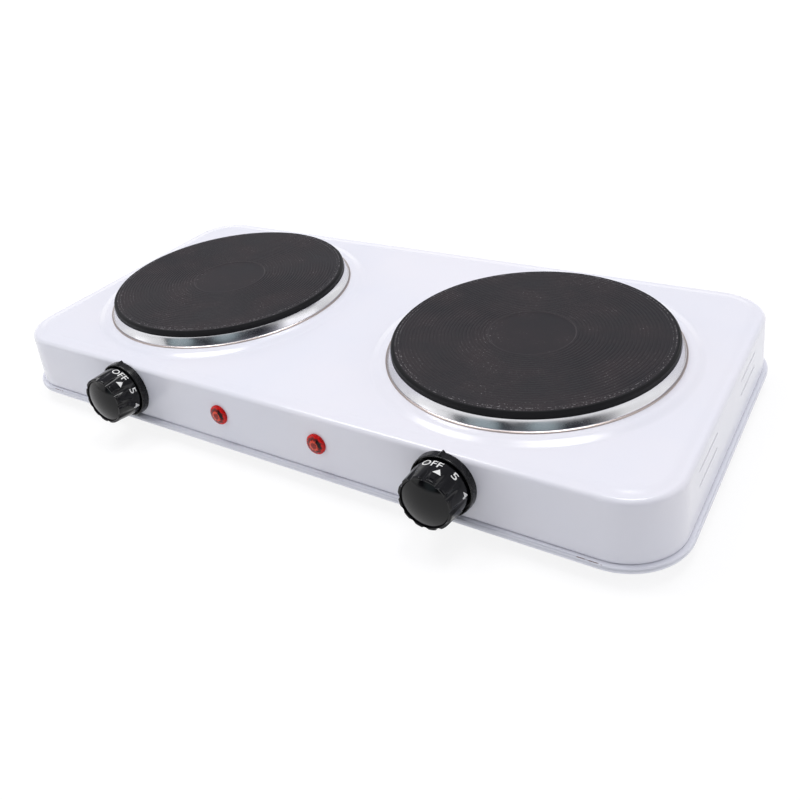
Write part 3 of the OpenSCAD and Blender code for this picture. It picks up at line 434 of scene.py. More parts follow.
# The hem is rolled, so light falls off from its top to its underside.
outward = add(tree, "NewGeometry").outputs["Normal"]
upward = add(tree, "SeparateXYZ", {0: outward}).outputs["Z"]
upward = add(tree, "Math", {0: upward}, operation="ABSOLUTE").outputs[0]
upright = add(tree, "Math", {0: 1.0, 1: upward}, operation="SUBTRACT").outputs[0]
roll_z = add(tree, "MapRange", {0: spot["Z"], 1: lip_low, 2: cover_low, 3: -0.1, 4: 1.6}).outputs[0]
roll_z = add(tree, "Math", {0: roll_z, 1: upright}, operation="MULTIPLY").outputs[0]
tilt = add(tree, "CombineXYZ", {0: 0.0, 1: 0.0, 2: roll_z}).outputs[0]
rolled = add(tree, "VectorMath", {0: outward, 1: tilt}, operation="ADD").outputs[0]
rolled = add(tree, "VectorMath", {0: rolled}, operation="NORMALIZE").outputs[0]
bump = add(tree, "Bump", {
    "Strength": 0.6, "Distance": 0.000012, "Height": wave, "Normal": rolled,
})
tree.links.new(bump.outputs[0], shader.inputs["Normal"])
from_middle = add(tree, "Math", {0: spot["X"]}, operation="ABSOLUTE").outputs[0]
centred = add(tree, "Math", {0: spot["Y"], 1: cover_y}, operation="SUBTRACT").outputs[0]
from_axis = add(tree, "Math", {0: centred}, operation="ABSOLUTE").outputs[0]
on_seam = add(
    tree, "Math", {0: from_axis, 1: lip_edge - seam_in, 2: seam_half}, operation="COMPARE",
).outputs[0]
at_end = add(
    tree, "Math", {0: from_middle, 1: corner_x - rust_in, 2: rust_half}, operation="COMPARE",
).outputs[0]
grain = add(tree, "TexNoise", {"Vector": place, "Scale": 1 / 0.002, "Detail": 3.0}).outputs[0]
patchy = add(tree, "MapRange", {0: grain, 1: 0.42, 2: 0.55, 3: 0.0, 4: 0.8}).outputs[0]
rusty = add(tree, "Math", {0: on_seam, 1: at_end}, operation="MULTIPLY").outputs[0]
rusty = add(tree, "Math", {0: rusty, 1: patchy}, operation="MULTIPLY").outputs[0]
tone = add(tree, "Mix", {0: rusty, 6: "#f6f7fd", 7: "#8d6a5e"}, data_type="RGBA").outputs[2]
tree.links.new(tone, shader.inputs["Base Color"])
assign(pan_enamel, "base_pan")

# ------------------------------------------------------------------ plates
# Each plate is grey cast iron, turned in fine rings and blackened with a
# heat-proof coat. Pale specks on the ring crests are painted glints.
plate_y, plate_top, top_edge = burner_y + cover_y, corners("heating_plate_right")[1].z, 1.1
disc_line, first_groove, groove_pitch, crest_at, crest_half = 23.7, 25.0, 2.0, 1.6, 0.35
edge_line, inner_line, dark_start, dark_end = 74.9, 73.2, 75.2, 75.9


def radius(tree, local):
    """Distance from a piece's upright axis, in the unit of its coordinates."""
    spot = add(tree, "SeparateXYZ", {0: local}).outputs
    flat = add(tree, "CombineXYZ", {0: spot["X"], 1: spot["Y"], 2: 0.0}).outputs[0]
    return add(tree, "VectorMath", {0: flat}, operation="LENGTH").outputs["Value"]


def plate_finish(name, side):
    """Blackened turned iron, with its rings centred on one burner."""
    iron, tree, shader = finish(name, "#2f2d30", 0.55, IOR=1.5, Specular_IOR_Level=0.2)
    place = add(tree, "TexCoord").outputs["Object"]
    centre = (-side * burner_x / 1000, -plate_y / 1000, 0)
    local = add(tree, "Mapping", {"Vector": place, "Location": centre}).outputs[0]
    level = add(tree, "SeparateXYZ", {0: local}).outputs["Z"]
    out = add(tree, "Math", {0: radius(tree, local), 1: 1000.0}, operation="MULTIPLY").outputs[0]
    # The casting's grain is about 0.6 mm across.
    grain = add(tree, "TexNoise", {"Vector": local, "Scale": 1 / 0.0006, "Detail": 3.0}).outputs[0]
    scuff = add(
        tree, "TexNoise", {"Vector": local, "Scale": 1 / 0.03, "Detail": 5.0, "Roughness": 0.6},
    ).outputs[0]
    tint = add(tree, "MapRange", {0: scuff, 1: 0.4, 2: 0.7, 3: 0.0, 4: 1.0}).outputs[0]
    tone = add(tree, "Mix", {0: tint, 6: "#282629", 7: "#352f31"}, data_type="RGBA").outputs[2]
    # A paler line round the smooth disc is a painted highlight over its groove's
    # shade. Outside it, painted glints speck the crest between two grooves.
    groove_highlight = add(tree, "Math", {0: out, 1: disc_line, 2: 0.45}, operation="COMPARE").outputs[0]
    tone = add(tree, "Mix", {0: groove_highlight, 6: tone, 7: "#3e3a3c"}, data_type="RGBA").outputs[2]
    along = add(tree, "Math", {0: out, 1: first_groove}, operation="SUBTRACT").outputs[0]
    step = add(tree, "Math", {0: along, 1: groove_pitch}, operation="FLOORED_MODULO").outputs[0]
    crest = add(
        tree, "Math", {0: step, 1: crest_at, 2: crest_half}, operation="COMPARE",
    ).outputs[0]
    glint_speck = add(tree, "MapRange", {0: grain, 1: 0.63, 2: 0.70, 3: 0.0, 4: 1.0}).outputs[0]
    glint_patch = add(tree, "MapRange", {0: scuff, 1: 0.50, 2: 0.62, 3: 0.04, 4: 0.8}).outputs[0]
    bright = add(tree, "Math", {0: crest, 1: glint_speck}, operation="MULTIPLY").outputs[0]
    bright = add(tree, "Math", {0: bright, 1: glint_patch}, operation="MULTIPLY").outputs[0]
    # Painted highlights speck the rim's edges in places.
    edge = add(tree, "Math", {0: out, 1: edge_line, 2: 0.22}, operation="COMPARE").outputs[0]
    inner = add(tree, "Math", {0: out, 1: inner_line, 2: 0.14}, operation="COMPARE").outputs[0]
    lines = add(tree, "Math", {0: edge, 1: inner}, operation="MAXIMUM").outputs[0]
    broken = add(tree, "TexNoise", {"Vector": local, "Scale": 1 / 0.0011, "Detail": 2.0}).outputs[0]
    rim_glint = add(tree, "MapRange", {0: broken, 1: 0.52, 2: 0.62, 3: 0.0, 4: 0.55}).outputs[0]
    rim = add(tree, "Math", {0: lines, 1: rim_glint}, operation="MULTIPLY").outputs[0]
    light = add(tree, "Math", {0: bright, 1: rim}, operation="MAXIMUM").outputs[0]
    top_start = (plate_top - top_edge) / 1000
    above = add(tree, "Math", {0: level, 1: top_start}, operation="GREATER_THAN").outputs[0]
    light = add(tree, "Math", {0: light, 1: above}, operation="MULTIPLY").outputs[0]
    tone = add(tree, "Mix", {0: light, 6: tone, 7: "#a6a3a4"}, data_type="RGBA").outputs[2]
    # Round the rim and below it the colour is darker.
    within = add(tree, "MapRange", {0: out, 1: dark_start, 2: dark_end, 3: 1.0, 4: 0.0}).outputs[0]
    above = add(tree, "Math", {0: above, 1: within}, operation="MULTIPLY").outputs[0]
    tone = add(tree, "Mix", {0: above, 6: "#0d0d0f", 7: tone}, data_type="RGBA").outputs[2]
    tree.links.new(tone, shader.inputs["Base Color"])
    rough = add(tree, "MapRange", {0: scuff, 1: 0.35, 2: 0.7, 3: 0.5, 4: 0.62}).outputs[0]
    tree.links.new(rough, shader.inputs["Roughness"])
    bump = add(tree, "Bump", {"Strength": 0.7, "Distance": 0.00003, "Height": grain})
    tree.links.new(bump.outputs[0], shader.inputs["Normal"])
    return iron


assign(plate_finish("blackened turned iron, left", -1), "heating_plate_left")
assign(plate_finish("blackened turned iron, right", 1), "heating_plate_right")

# ------------------------------------------------------------------ rings
# Each trim ring is spun from stainless steel sheet and polished, with a
# flare from under the plate's rim down to a thin foot on the collar.


def lathe(profile, steps):
    """Turns a chain of (radius, height) points round Z into a closed shell."""
    shape = bmesh.new()
    chain = [shape.verts.new((r, 0, z)) for r, z in profile]
    edges = [shape.edges.new(pair) for pair in zip(chain, chain[1:])]
    if profile[0][0] > 0:
        edges.append(shape.edges.new((chain[-1], chain[0])))
    bmesh.ops.spin(
        shape, geom=chain + edges, cent=(0, 0, 0), axis=(0, 0, 1),
        angle=2 * math.pi, steps=steps, use_merge=True,
    )
    bmesh.ops.remove_doubles(shape, verts=shape.verts, dist=1e-4)
    bmesh.ops.dissolve_degenerate(shape, dist=1e-5, edges=shape.edges)
    bmesh.ops.recalc_face_normals(shape, faces=shape.faces)
    return shape


polished, tree, shader = finish("polished stainless steel", "#d6d6d9", 0.07, 1.0)
local = add(tree, "Attribute", attribute_name="local").outputs["Vector"]
out = radius(tree, local)
smear = add(tree, "TexNoise", {"Vector": local, "Scale": 1 / 14, "Detail": 3.0}).outputs[0]
rough = add(tree, "MapRange", {0: smear, 1: 0.35, 2: 0.7, 3: 0.15, 4: 0.27}).outputs[0]
# Heat leaves a faint straw tint at the foot.
tint_start, tint_end = 80.1, 80.5
foot = add(tree, "MapRange", {0: out, 1: tint_start, 2: tint_end, 3: 0.0, 4: 0.8}).outputs[0]
tone = add(tree, "Mix", {0: foot, 6: "#d6d6d9", 7: "#b5a59b"}, data_type="RGBA").outputs[2]
tree.links.new(tone, shader.inputs["Base Color"])
rough = add(tree, "Mix", {0: foot, 2: rough, 3: 0.35}).outputs[0]
tree.links.new(rough, shader.inputs["Roughness"])

ring_from, ring_to = corners("trim_ring_right")
ring_top, ring_foot, foot_r = ring_to.z, ring_from.z, ring_to.x - burner_x
flange_r, bend_r, seat_r, sheet = 73.6, 77.6, 78.0, 0.7
flare, drop, parts = foot_r - 1.1 - seat_r, ring_top - ring_foot - sheet, 28
outside = [
    (seat_r + flare * (0.5 * i / parts + 0.5 * (i / parts) ** 1.5), ring_top - drop * i / parts)
    for i in range(parts)
] + [(foot_r - 1.02, ring_foot + sheet + 0.1), (foot_r - 0.9, ring_foot + sheet)]
inside = [(r - sheet, z - sheet) for r, z in reversed(outside)]
for side, name in ((-1, "left"), (1, "right")):
    profile = (
        [(flange_r, ring_top), (bend_r, ring_top)] + outside
        + [(foot_r - 0.3, ring_foot + sheet), (foot_r - 0.09, ring_foot + sheet - 0.09),
           (foot_r, ring_foot + sheet - 0.3), (foot_r, ring_foot)]
        + inside + [(flange_r, ring_top - sheet)]
    )
    where = Matrix.Translation((side * burner_x / 1000, plate_y / 1000, 0))
    place_piece(
        "polished_ring_" + name, lathe(profile, 256), where, [polished],
        "housing", ["trim_ring_" + name], sharp=50,
    )

# ------------------------------------------------------------------ knobs
# Each knob is moulded in black phenolic resin with a high gloss: a skirt, a
# grip with scallops that deepen towards a domed cap, and a raised arrow.


def on_front_wall(along, turn=0.0):
    """The place of a piece on the front wall, with local Z straight out."""
    return on_wall(0, along, control_z) @ Matrix.Rotation(math.radians(-turn), 4, "Z")


gloss, tree, shader = finish(
    "gloss black phenolic resin", "#070709", 0.1, IOR=1.5, Specular_IOR_Level=0.32,
)
local = add(tree, "Attribute", attribute_name="local").outputs["Vector"]
flow = add(tree, "TexNoise", {"Vector": local, "Scale": 1 / 2.5, "Detail": 3.0}).outputs[0]
bump = add(tree, "Bump", {"Strength": 0.35, "Distance": 0.00003, "Height": flow})
tree.links.new(bump.outputs[0], shader.inputs["Normal"])
smear = add(tree, "TexNoise", {"Vector": local, "Scale": 1 / 6, "Detail": 4.0}).outputs[0]
rough = add(tree, "MapRange", {0: smear, 1: 0.35, 2: 0.7, 3: 0.08, 4: 0.2}).outputs[0]
tree.links.new(rough, shader.inputs["Roughness"])
dust = add(tree, "TexNoise", {"Vector": local, "Scale": 1 / 0.35, "Detail": 2.0}).outputs[0]
dusty = add(tree, "MapRange", {0: dust, 1: 0.70, 2: 0.76, 3: 0.0, 4: 0.25}).outputs[0]
tone = add(tree, "Mix", {0: dusty, 6: "#070709", 7: "#4c4c50"}, data_type="RGBA").outputs[2]
tree.links.new(tone, shader.inputs["Base Color"])

ink, tree, shader = finish("white pad-printing ink", "#eeeeea", 0.45)
local = add(tree, "Attribute", attribute_name="local").outputs["Vector"]
thin = add(tree, "TexNoise", {"Vector": local, "Scale": 1 / 0.5, "Detail": 2.0}).outputs[0]
film = add(tree, "MapRange", {0: thin, 1: 0.6, 2: 0.78, 3: 0.0, 4: 0.7}).outputs[0]
tone = add(tree, "Mix", {0: film, 6: "#eeeeea", 7: "#8c8c8c"}, data_type="RGBA").outputs[2]
tree.links.new(tone, shader.inputs["Base Color"])

skirt_r, tip_r, cone_z, tip_z, shoulder_r = 15.4, 14.5, 4.0, 19.85, 0.9
reach, dome_r, cap_r = 22.0, 30.0, 12.9
flute_start, flute_depth, scallop_r, flutes, arrow_a = 9.3, 1.35, 2.0, 12, 15.0
dome_a = math.asin(cap_r / dome_r)
side_z = tip_z - shoulder_r


def cone_r(z):
    """Radius of the knob's outside at a height from the wall."""
    return skirt_r + (tip_r - skirt_r) * (z - cone_z) / (side_z - cone_z)


bore_r, bore_end, boss_r, boss_z = 3.05, 15.3, 4.8, 3.1
well_r, well_z, hollow_r, skirt_z = 9.9, 8.4, 12.3, 2.1
rows = [cone_z + 0.4 + i * (side_z - cone_z - 0.4) / 28 for i in range(29)]
knob_profile = (
    [(0, bore_end), (bore_r, bore_end), (bore_r, boss_z), (boss_r, boss_z), (boss_r, well_z)]
    + [(well_r, well_z), (hollow_r, cone_z), (hollow_r, skirt_z), (skirt_r - 0.35, skirt_z)]
    + [(skirt_r - 0.1, skirt_z + 0.1), (skirt_r, skirt_z + 0.35), (skirt_r, cone_z)]
    + [(cone_r(z), z) for z in rows]
    + [(tip_r - shoulder_r * (1 - math.cos(a)), side_z + shoulder_r * math.sin(a))
       for a in (math.radians(10 * i) for i in range(1, 10))]
    + [(cap_r + 0.4, tip_z - 0.04), (cap_r + 0.2, tip_z - 0.16), (cap_r + 0.08, tip_z - 0.4)]
    + [(dome_r * math.sin(a), reach - dome_r * (1 - math.cos(a)))
       for a in (dome_a * (1 - i / 24) for i in range(24))]
    + [(0, reach)]
)


def scallop(shape):
    """Draws the grip's scallops in, with softened edges between them."""
    soft, groove_r, start_r = 0.5, cap_r + 0.04, cone_r(flute_start)
    for v in shape.verts:
        r = math.hypot(v.co.x, v.co.y)
        if v.co.z < flute_start - 0.6 or r < groove_r:
            continue
        angle = math.degrees(math.atan2(v.co.y, v.co.x)) - (90 - arrow_a)
        t = r * math.radians((angle % (360 / flutes)) - 180 / flutes)
        if abs(t) < scallop_r:
            along = (v.co.z - flute_start) / (tip_z - flute_start)
            floor_r = start_r + (tip_r - flute_depth - start_r) * along
            cut = floor_r + scallop_r - math.sqrt(scallop_r ** 2 - t * t)
            share = max(soft - abs(r - cut), 0) / soft
            new = max(min(r, cut) - share * share * soft / 4, groove_r)
            v.co.x *= new / r
            v.co.y *= new / r


def wrap(shape, angle, stand):
    """Bends a flat drawing (x round, y towards the wall, z up) onto the cone."""
    slices, slice_w = 17, 0.5
    for i in range(-slices, slices + 1):
        bmesh.ops.bisect_plane(
            shape, geom=shape.verts[:] + shape.edges[:] + shape.faces[:],
            plane_co=(i * slice_w, 0, 0), plane_no=(1, 0, 0), dist=1e-5,
        )
    for v in shape.verts:
        z = -v.co.y
        r = cone_r(z) + stand + v.co.z
        a = math.radians(90 - angle) - v.co.x / cone_r(z)
        v.co = Vector((r * math.cos(a), r * math.sin(a), z))
    return shape


def join(shape, other):
    """Adds another bmesh to a shape."""
    spare = bpy.data.meshes.new("spare")
    other.to_mesh(spare)
    other.free()
    shape.from_mesh(spare)
    bpy.data.meshes.remove(spare)


figure_z, figure_h, figure_stand, ink_t, bolder = 8.0, 5.6, 0.03, 0.02, 0.035
wide_word, wide_figure = 1.16, 1.42
marks = (("OFF", -7), ("5", 42), ("4", 81), ("3", 130), ("2", 180), ("1", 226))


def figure(text, angle):
    """A figure printed on the skirt, its top towards the wall."""
    curve = bpy.data.curves.new("figure", "FONT")
    curve.body = text
    curve.size = figure_h
    curve.align_x = "CENTER"
    curve.align_y = "CENTER"
    curve.offset = bolder
    curve.extrude = ink_t
    curve.resolution_u = 3
    holder = bpy.data.objects.new("figure", curve)
    bpy.context.scene.collection.objects.link(holder)
    bpy.context.view_layer.update()
    outlined = holder.evaluated_get(bpy.context.evaluated_depsgraph_get())
    drawn = bpy.data.meshes.new_from_object(outlined)
    bpy.data.objects.remove(holder)
    bpy.data.curves.remove(curve)
    shape = bmesh.new()
    shape.from_mesh(drawn)
    bpy.data.meshes.remove(drawn)
    bmesh.ops.remove_doubles(shape, verts=shape.verts, dist=1e-4)
    width = wide_word if len(text) > 1 else wide_figure
    bmesh.ops.scale(shape, verts=shape.verts, vec=(width, 1.0, 1.0))
    bmesh.ops.translate(shape, verts=shape.verts, vec=(0, -figure_z, 0))
    bmesh.ops.triangulate(shape, faces=shape.faces)
    for face in shape.faces:
        face.material_index = 1
    return wrap(shape, angle, figure_stand)


def arrow():
    """The raised arrow on the grip; its head carries ink."""
    head, neck, end = 10.5, 13.8, 17.9
    half, stem, sunk, stand = 2.15, 0.9, 1.2, 0.35
    outline = [
        (0, -head), (half, -neck), (stem, -neck), (stem, -end),
        (-stem, -end), (-stem, -neck), (-half, -neck),
    ]
    shape = bmesh.new()
    face = shape.faces.new([shape.verts.new((x, y, -sunk)) for x, y in outline])
    top = bmesh.ops.extrude_face_region(shape, geom=[face])
    raised = [v for v in top["geom"] if isinstance(v, bmesh.types.BMVert)]
    bmesh.ops.translate(shape, verts=raised, vec=(0, 0, sunk + stand))
    bmesh.ops.recalc_face_normals(shape, faces=shape.faces)
    bmesh.ops.bisect_plane(
        shape, geom=shape.verts[:] + shape.edges[:] + shape.faces[:],
        plane_co=(0, -neck, 0), plane_no=(0, 1, 0), dist=1e-5,
    )
    for face in shape.faces:
        inked = face.calc_center_median().y > -neck and face.normal.z > 0.7
        face.material_index = 1 if inked else 0
    return shape


# A knob stands turned on by as much as its joint can still go back to OFF.
for side, name in ((-1, "left"), (1, "right")):
    turn = -controls[name + "_control"]["range_deg"][0]
    shape = lathe(knob_profile, 288)
    scallop(shape)
    join(shape, wrap(arrow(), arrow_a, 0.0))
    for text, angle in marks:
        join(shape, figure(text, angle))
    place_piece(
        "gloss_knob_" + name, shape, on_front_wall(side * burner_x, turn), [gloss, ink],
        name + "_control", ["knob_" + name], sharp=38,
    )

# ------------------------------------------------------------------ bezels
# Each bezel is a shallow moulded cup behind its knob, with a small pointer
# at the top that the figures are read against.
satin, tree, shader = finish(
    "satin black phenolic resin", "#09090b", 0.24, IOR=1.5, Specular_IOR_Level=0.36,
)
local = add(tree, "Attribute", attribute_name="local").outputs["Vector"]
flow = add(tree, "TexNoise", {"Vector": local, "Scale": 1 / 1.5, "Detail": 3.0}).outputs[0]
bump = add(tree, "Bump", {"Strength": 0.5, "Distance": 0.00004, "Height": flow})
tree.links.new(bump.outputs[0], shader.inputs["Normal"])
rough = add(tree, "MapRange", {0: flow, 1: 0.35, 2: 0.7, 3: 0.18, 4: 0.34}).outputs[0]
tree.links.new(rough, shader.inputs["Roughness"])
cup_hole, cup_r, cup_in, cup_floor, cup_z = 4.0, 17.1, 16.1, 1.2, 4.6
bezel_profile = (
    [(cup_hole, 0.0), (cup_r, 0.0), (cup_r, 0.5), (16.98, 2.0), (16.92, 3.9), (16.85, 4.25)]
    + [(16.68, 4.5), (16.45, cup_z), (16.3, 4.55), (16.15, 4.35), (cup_in, 4.1), (cup_in, 1.5)]
    + [(cup_in - 0.3, cup_floor), (cup_hole, cup_floor)]
)
pointer_half, pointer_foot, pointer_tip, pointer_z = 2.0, 16.3, 18.45, 4.0
pointer = ((-pointer_half, pointer_foot), (pointer_half, pointer_foot), (0.0, pointer_tip))
for side, name in ((-1, "left"), (1, "right")):
    shape = lathe(bezel_profile, 160)
    wedge = bmesh.new()
    face = wedge.faces.new([wedge.verts.new((x, y, 0.0)) for x, y in pointer])
    top = bmesh.ops.extrude_face_region(wedge, geom=[face])
    raised = [v for v in top["geom"] if isinstance(v, bmesh.types.BMVert)]
    bmesh.ops.translate(wedge, verts=raised, vec=(0, 0, pointer_z))
    bmesh.ops.recalc_face_normals(wedge, faces=wedge.faces)
    crown = [e for e in wedge.edges if all(v.co.z > pointer_z / 2 for v in e.verts)]
    upright_edge = [e for e in wedge.edges if all(v.co.y > pointer_tip - 0.1 for v in e.verts)]
    bmesh.ops.bevel(
        wedge, geom=list(set(crown + upright_edge)), offset=0.3, segments=3,
        profile=0.5, affect="EDGES", material=-1,
    )
    join(shape, wedge)
    place_piece(
        "satin_bezel_" + name, shape, on_front_wall(side * burner_x), [satin],
        "housing", ["knob_bezel_" + name], sharp=40,
    )

# ------------------------------------------------------------------ lamps
# Each pilot lamp has a clear red moulded lens, a low dome with ten shallow
# waves round it, which break up the lamp's light.
red_lens, tree, shader = finish(
    "clear red polycarbonate", "#c0121a", 0.04, IOR=1.58, Specular_IOR_Level=0.18,
)
local = add(tree, "Attribute", attribute_name="local").outputs["Vector"]
waves, wave_h, wave_r = 10, 0.07, 5.3
# Painted light and shade in rings: a bright petal ring and rim are painted highlight, a dark outer
# band painted shade.
out = radius(tree, local)
spot = add(tree, "SeparateXYZ", {0: local}).outputs
turn = add(tree, "Math", {0: spot["Y"], 1: spot["X"]}, operation="ARCTAN2").outputs[0]
petal = add(tree, "Math", {0: turn, 1: float(waves)}, operation="MULTIPLY").outputs[0]
petal = add(tree, "Math", {0: petal}, operation="SINE").outputs[0]
scale = add(tree, "MapRange", {0: petal, 1: -1.0, 2: 1.0, 3: 0.95, 4: 1.08}).outputs[0]
waved = add(tree, "Math", {0: out, 1: scale}, operation="MULTIPLY").outputs[0]
shares = add(tree, "MapRange", {0: waved, 1: 0.0, 2: 6.0, 3: 0.0, 4: 1.0}).outputs[0]
bands = add(tree, "ValToRGB", {0: shares})
ramp = bands.color_ramp
ramp.elements[0].position, ramp.elements[0].color = 0.0, linear("#a52f28")
ramp.elements[1].position, ramp.elements[1].color = 1.0, linear("#d80f10")
for stop, colour in ((0.28, "#a83029"), (0.36, "#ff5c40"), (0.48, "#f5452f"), (0.56, "#7c1614"),
                     (0.70, "#6c2320"), (0.78, "#b01d1a"), (0.86, "#f21a14")):
    ramp.elements.new(stop).color = linear(colour)
# A dark patch is painted at one side, painted shade for the dark inside of the lamp seen through
# the lens.
patch_a, patch_r = 0.45, 3.4
swung = add(tree, "Math", {0: turn, 1: patch_a}, operation="SUBTRACT").outputs[0]
swung = add(tree, "Math", {0: swung}, operation="ABSOLUTE").outputs[0]
beside = add(tree, "MapRange", {0: swung, 1: 0.6, 2: 0.8, 3: 1.0, 4: 0.0}).outputs[0]
offset = add(tree, "Math", {0: out, 1: patch_r}, operation="SUBTRACT").outputs[0]
offset = add(tree, "Math", {0: offset}, operation="ABSOLUTE").outputs[0]
across_it = add(tree, "MapRange", {0: offset, 1: 0.8, 2: 1.15, 3: 1.0, 4: 0.0}).outputs[0]
painted_dark_patch = add(tree, "Math", {0: beside, 1: across_it}, operation="MULTIPLY").outputs[0]
tone = add(
    tree, "Mix", {0: painted_dark_patch, 6: bands.outputs[0], 7: "#1d0607"}, data_type="RGBA",
).outputs[2]
# Noise darkens patches of the lens, more painted shade.
mottle = add(tree, "TexNoise", {"Vector": local, "Scale": 1 / 1.1, "Detail": 2.0}).outputs[0]
depth = add(tree, "MapRange", {0: mottle, 1: 0.35, 2: 0.6, 3: 0.35, 4: 0.0}).outputs[0]
tone = add(tree, "Mix", {0: depth, 6: tone, 7: "#3d0608"}, data_type="RGBA").outputs[2]
tree.links.new(tone, shader.inputs["Base Color"])
lens_r, lens_z, dome_h, rim_r, barrel_r, barrel_in, barrel_l = 5.5, 2.85, 1.45, 5.9, 4.2, 3.8, 8.0
lens_profile = (
    [(barrel_r, -barrel_l), (barrel_r, 0.0), (rim_r, 0.0), (rim_r, 0.7)]
    + [(rim_r - 0.06, 1.0), (rim_r - 0.22, 1.25)]
    + [(lens_r * (1 - i / 20), lens_z - dome_h * (1 - i / 20) ** 2) for i in range(20)]
    + [(0, lens_z), (0, 1.2), (barrel_in, 1.0), (barrel_in, -barrel_l)]
)
for side, name in ((-1, "left"), (1, "right")):
    shape = lathe(lens_profile, 120)
    for v in shape.verts:
        r = math.hypot(v.co.x, v.co.y)
        if v.co.z > lens_z - dome_h - 0.1 and r < wave_r:
            swing = math.sin(waves * math.atan2(v.co.y, v.co.x))
            v.co.z += wave_h * swing * math.sin(math.pi * r / wave_r)
    place_piece(
        "red_lens_" + name, shape, on_front_wall(side * lamp_x - lamp_shift), [red_lens],
        "housing", ["lamp_lens_" + name], sharp=18,
    )

# ------------------------------------------------------------------ underneath and inside
# Four moulded rubber feet carry the pan, and a rubber grommet lines the
# cord's hole in the rear wall.
rubber, tree, shader = finish("moulded black rubber", "#1d1d1e", 0.72, Specular_IOR_Level=0.4)
place = add(tree, "TexCoord").outputs["Object"]
grain = add(tree, "TexNoise", {"Vector": place, "Scale": 1 / 0.0008, "Detail": 3.0}).outputs[0]
bump = add(tree, "Bump", {"Strength": 0.5, "Distance": 0.00004, "Height": grain})
tree.links.new(bump.outputs[0], shader.inputs["Normal"])
bloom = add(tree, "TexNoise", {"Vector": place, "Scale": 1 / 0.008, "Detail": 3.0}).outputs[0]
tone = add(tree, "Mix", {0: bloom, 6: "#1a1a1b", 7: "#29292a"}, data_type="RGBA").outputs[2]
tree.links.new(tone, shader.inputs["Base Color"])
assign(
    rubber, "foot_front_left", "foot_front_right", "foot_rear_left", "foot_rear_right",
    "cord_gland",
)

# Screws, bars, brackets and posts are mild steel with bright zinc plating,
# which shows faint crystals and drying marks.
zinc, tree, shader = finish("bright zinc plating", "#bfc2c6", 0.3, 1.0)
place = add(tree, "TexCoord").outputs["Object"]
crystals = add(tree, "TexVoronoi", {"Vector": place, "Scale": 1 / 0.0012}, feature="F1")
spread = add(tree, "SeparateXYZ", {0: crystals.outputs["Color"]}).outputs["X"]
rough = add(tree, "MapRange", {0: spread, 1: 0.0, 2: 1.0, 3: 0.22, 4: 0.4}).outputs[0]
tree.links.new(rough, shader.inputs["Roughness"])
drying = add(tree, "TexNoise", {"Vector": place, "Scale": 1 / 0.01, "Detail": 3.0}).outputs[0]
tone = add(tree, "Mix", {0: drying, 6: "#b4b7bc", 7: "#cfd0cd"}, data_type="RGBA").outputs[2]
tree.links.new(tone, shader.inputs["Base Color"])
assign(
    zinc, "support_posts", "foot_screws", "clamp_bar_left", "clamp_bar_right", "plate_stud_left",
    "plate_stud_right", "stud_washers", "stud_nuts", "thermostat_bracket_left",
    "thermostat_bracket_right", "thermostat_screws", "terminal_block_screws", "earth_screw",
)

# The clips, lids and shafts are plain drawn steel with its rolling lines.
drawn_steel, tree, shader = finish("plain drawn steel", "#8f9296", 0.36, 1.0)
place = add(tree, "TexCoord").outputs["Object"]
stretch = add(tree, "Mapping", {"Vector": place, "Scale": (1, 14, 1)}).outputs[0]
rolled = add(tree, "TexNoise", {"Vector": stretch, "Scale": 1 / 0.004, "Detail": 4.0}).outputs[0]
rough = add(tree, "MapRange", {0: rolled, 1: 0.3, 2: 0.7, 3: 0.28, 4: 0.45}).outputs[0]
tree.links.new(rough, shader.inputs["Roughness"])
tone = add(tree, "Mix", {0: rolled, 6: "#85888c", 7: "#a3a5a8"}, data_type="RGBA").outputs[2]
tree.links.new(tone, shader.inputs["Base Color"])
assign(
    drawn_steel, "lamp_clips", "element_lid_left", "element_lid_right", "control_shaft_left",
    "control_shaft_right",
)

# The reflectors are drawn from aluminised sheet, soft and slightly grey.
aluminised, tree, shader = finish("aluminised steel sheet", "#cbccce", 0.26, 1.0)
place = add(tree, "TexCoord").outputs["Object"]
spangle = add(tree, "TexNoise", {"Vector": place, "Scale": 1 / 0.006, "Detail": 4.0}).outputs[0]
rough = add(tree, "MapRange", {0: spangle, 1: 0.3, 2: 0.7, 3: 0.2, 4: 0.36}).outputs[0]
tree.links.new(rough, shader.inputs["Roughness"])
tone = add(tree, "Mix", {0: spangle, 6: "#c2c3c6", 7: "#d6d6d6"}, data_type="RGBA").outputs[2]
tree.links.new(tone, shader.inputs["Base Color"])
assign(aluminised, "reflector_left", "reflector_right")

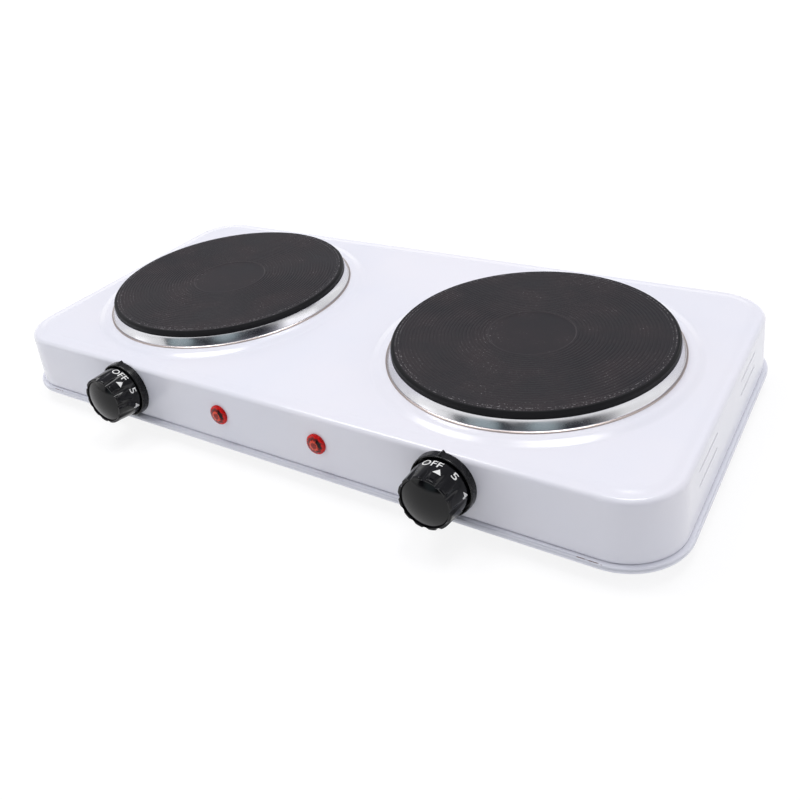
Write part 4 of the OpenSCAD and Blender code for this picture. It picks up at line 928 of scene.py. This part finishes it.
# Element bodies, beads and thermostats are pressed and fired steatite,
# unglazed, with a fine dry grain.
steatite, tree, shader = finish("fired steatite", "#e4dfd0", 0.82, Specular_IOR_Level=0.3)
place = add(tree, "TexCoord").outputs["Object"]
grain = add(tree, "TexNoise", {"Vector": place, "Scale": 1 / 0.0007, "Detail": 3.0}).outputs[0]
bump = add(tree, "Bump", {"Strength": 0.5, "Distance": 0.00004, "Height": grain})
tree.links.new(bump.outputs[0], shader.inputs["Normal"])
firing = add(tree, "TexNoise", {"Vector": place, "Scale": 1 / 0.02, "Detail": 3.0}).outputs[0]
tone = add(tree, "Mix", {0: firing, 6: "#ddd6c4", 7: "#ebe7db"}, data_type="RGBA").outputs[2]
tree.links.new(tone, shader.inputs["Base Color"])
assign(
    steatite, "heating_element_left", "heating_element_right", "terminal_beads_left",
    "terminal_beads_right", "thermostat_left", "thermostat_right",
)

# The lamp bodies and the terminal block are moulded in natural polyamide,
# which lets a little light in.
polyamide, tree, shader = finish("natural polyamide", "#e9e7dd", 0.42, IOR=1.53)
place = add(tree, "TexCoord").outputs["Object"]
flow = add(tree, "TexNoise", {"Vector": place, "Scale": 1 / 0.003, "Detail": 2.0}).outputs[0]
bump = add(tree, "Bump", {"Strength": 0.4, "Distance": 0.00003, "Height": flow})
tree.links.new(bump.outputs[0], shader.inputs["Normal"])
tone = add(tree, "Mix", {0: flow, 6: "#e4e1d5", 7: "#eeece4"}, data_type="RGBA").outputs[2]
tree.links.new(tone, shader.inputs["Base Color"])
assign(polyamide, "lamp_body_left", "lamp_body_right", "terminal_block")

# The earth tag is cut from brass strip, dulled by handling.
brass, tree, shader = finish("brass strip", "#c9a45a", 0.3, 1.0)
place = add(tree, "TexCoord").outputs["Object"]
dull = add(tree, "TexNoise", {"Vector": place, "Scale": 1 / 0.003, "Detail": 3.0}).outputs[0]
rough = add(tree, "MapRange", {0: dull, 1: 0.3, 2: 0.7, 3: 0.22, 4: 0.45}).outputs[0]
tree.links.new(rough, shader.inputs["Roughness"])
tone = add(tree, "Mix", {0: dull, 6: "#b98f48", 7: "#d6b46c"}, data_type="RGBA").outputs[2]
tree.links.new(tone, shader.inputs["Base Color"])
assign(brass, "earth_tag")

# The leads are stranded wire in braided silicone sleeving, iron red.
sleeving, tree, shader = finish("silicone sleeving", "#7c2318", 0.6)
place = add(tree, "TexCoord").outputs["Object"]
braid = add(tree, "TexVoronoi", {"Vector": place, "Scale": 1 / 0.0007}, feature="F1")
braid = braid.outputs["Distance"]
bump = add(tree, "Bump", {"Strength": 0.6, "Distance": 0.00008, "Height": braid})
tree.links.new(bump.outputs[0], shader.inputs["Normal"])
tone = add(tree, "Mix", {0: braid, 6: "#86281b", 7: "#5c1810"}, data_type="RGBA").outputs[2]
tree.links.new(tone, shader.inputs["Base Color"])
assign(sleeving, "wiring")
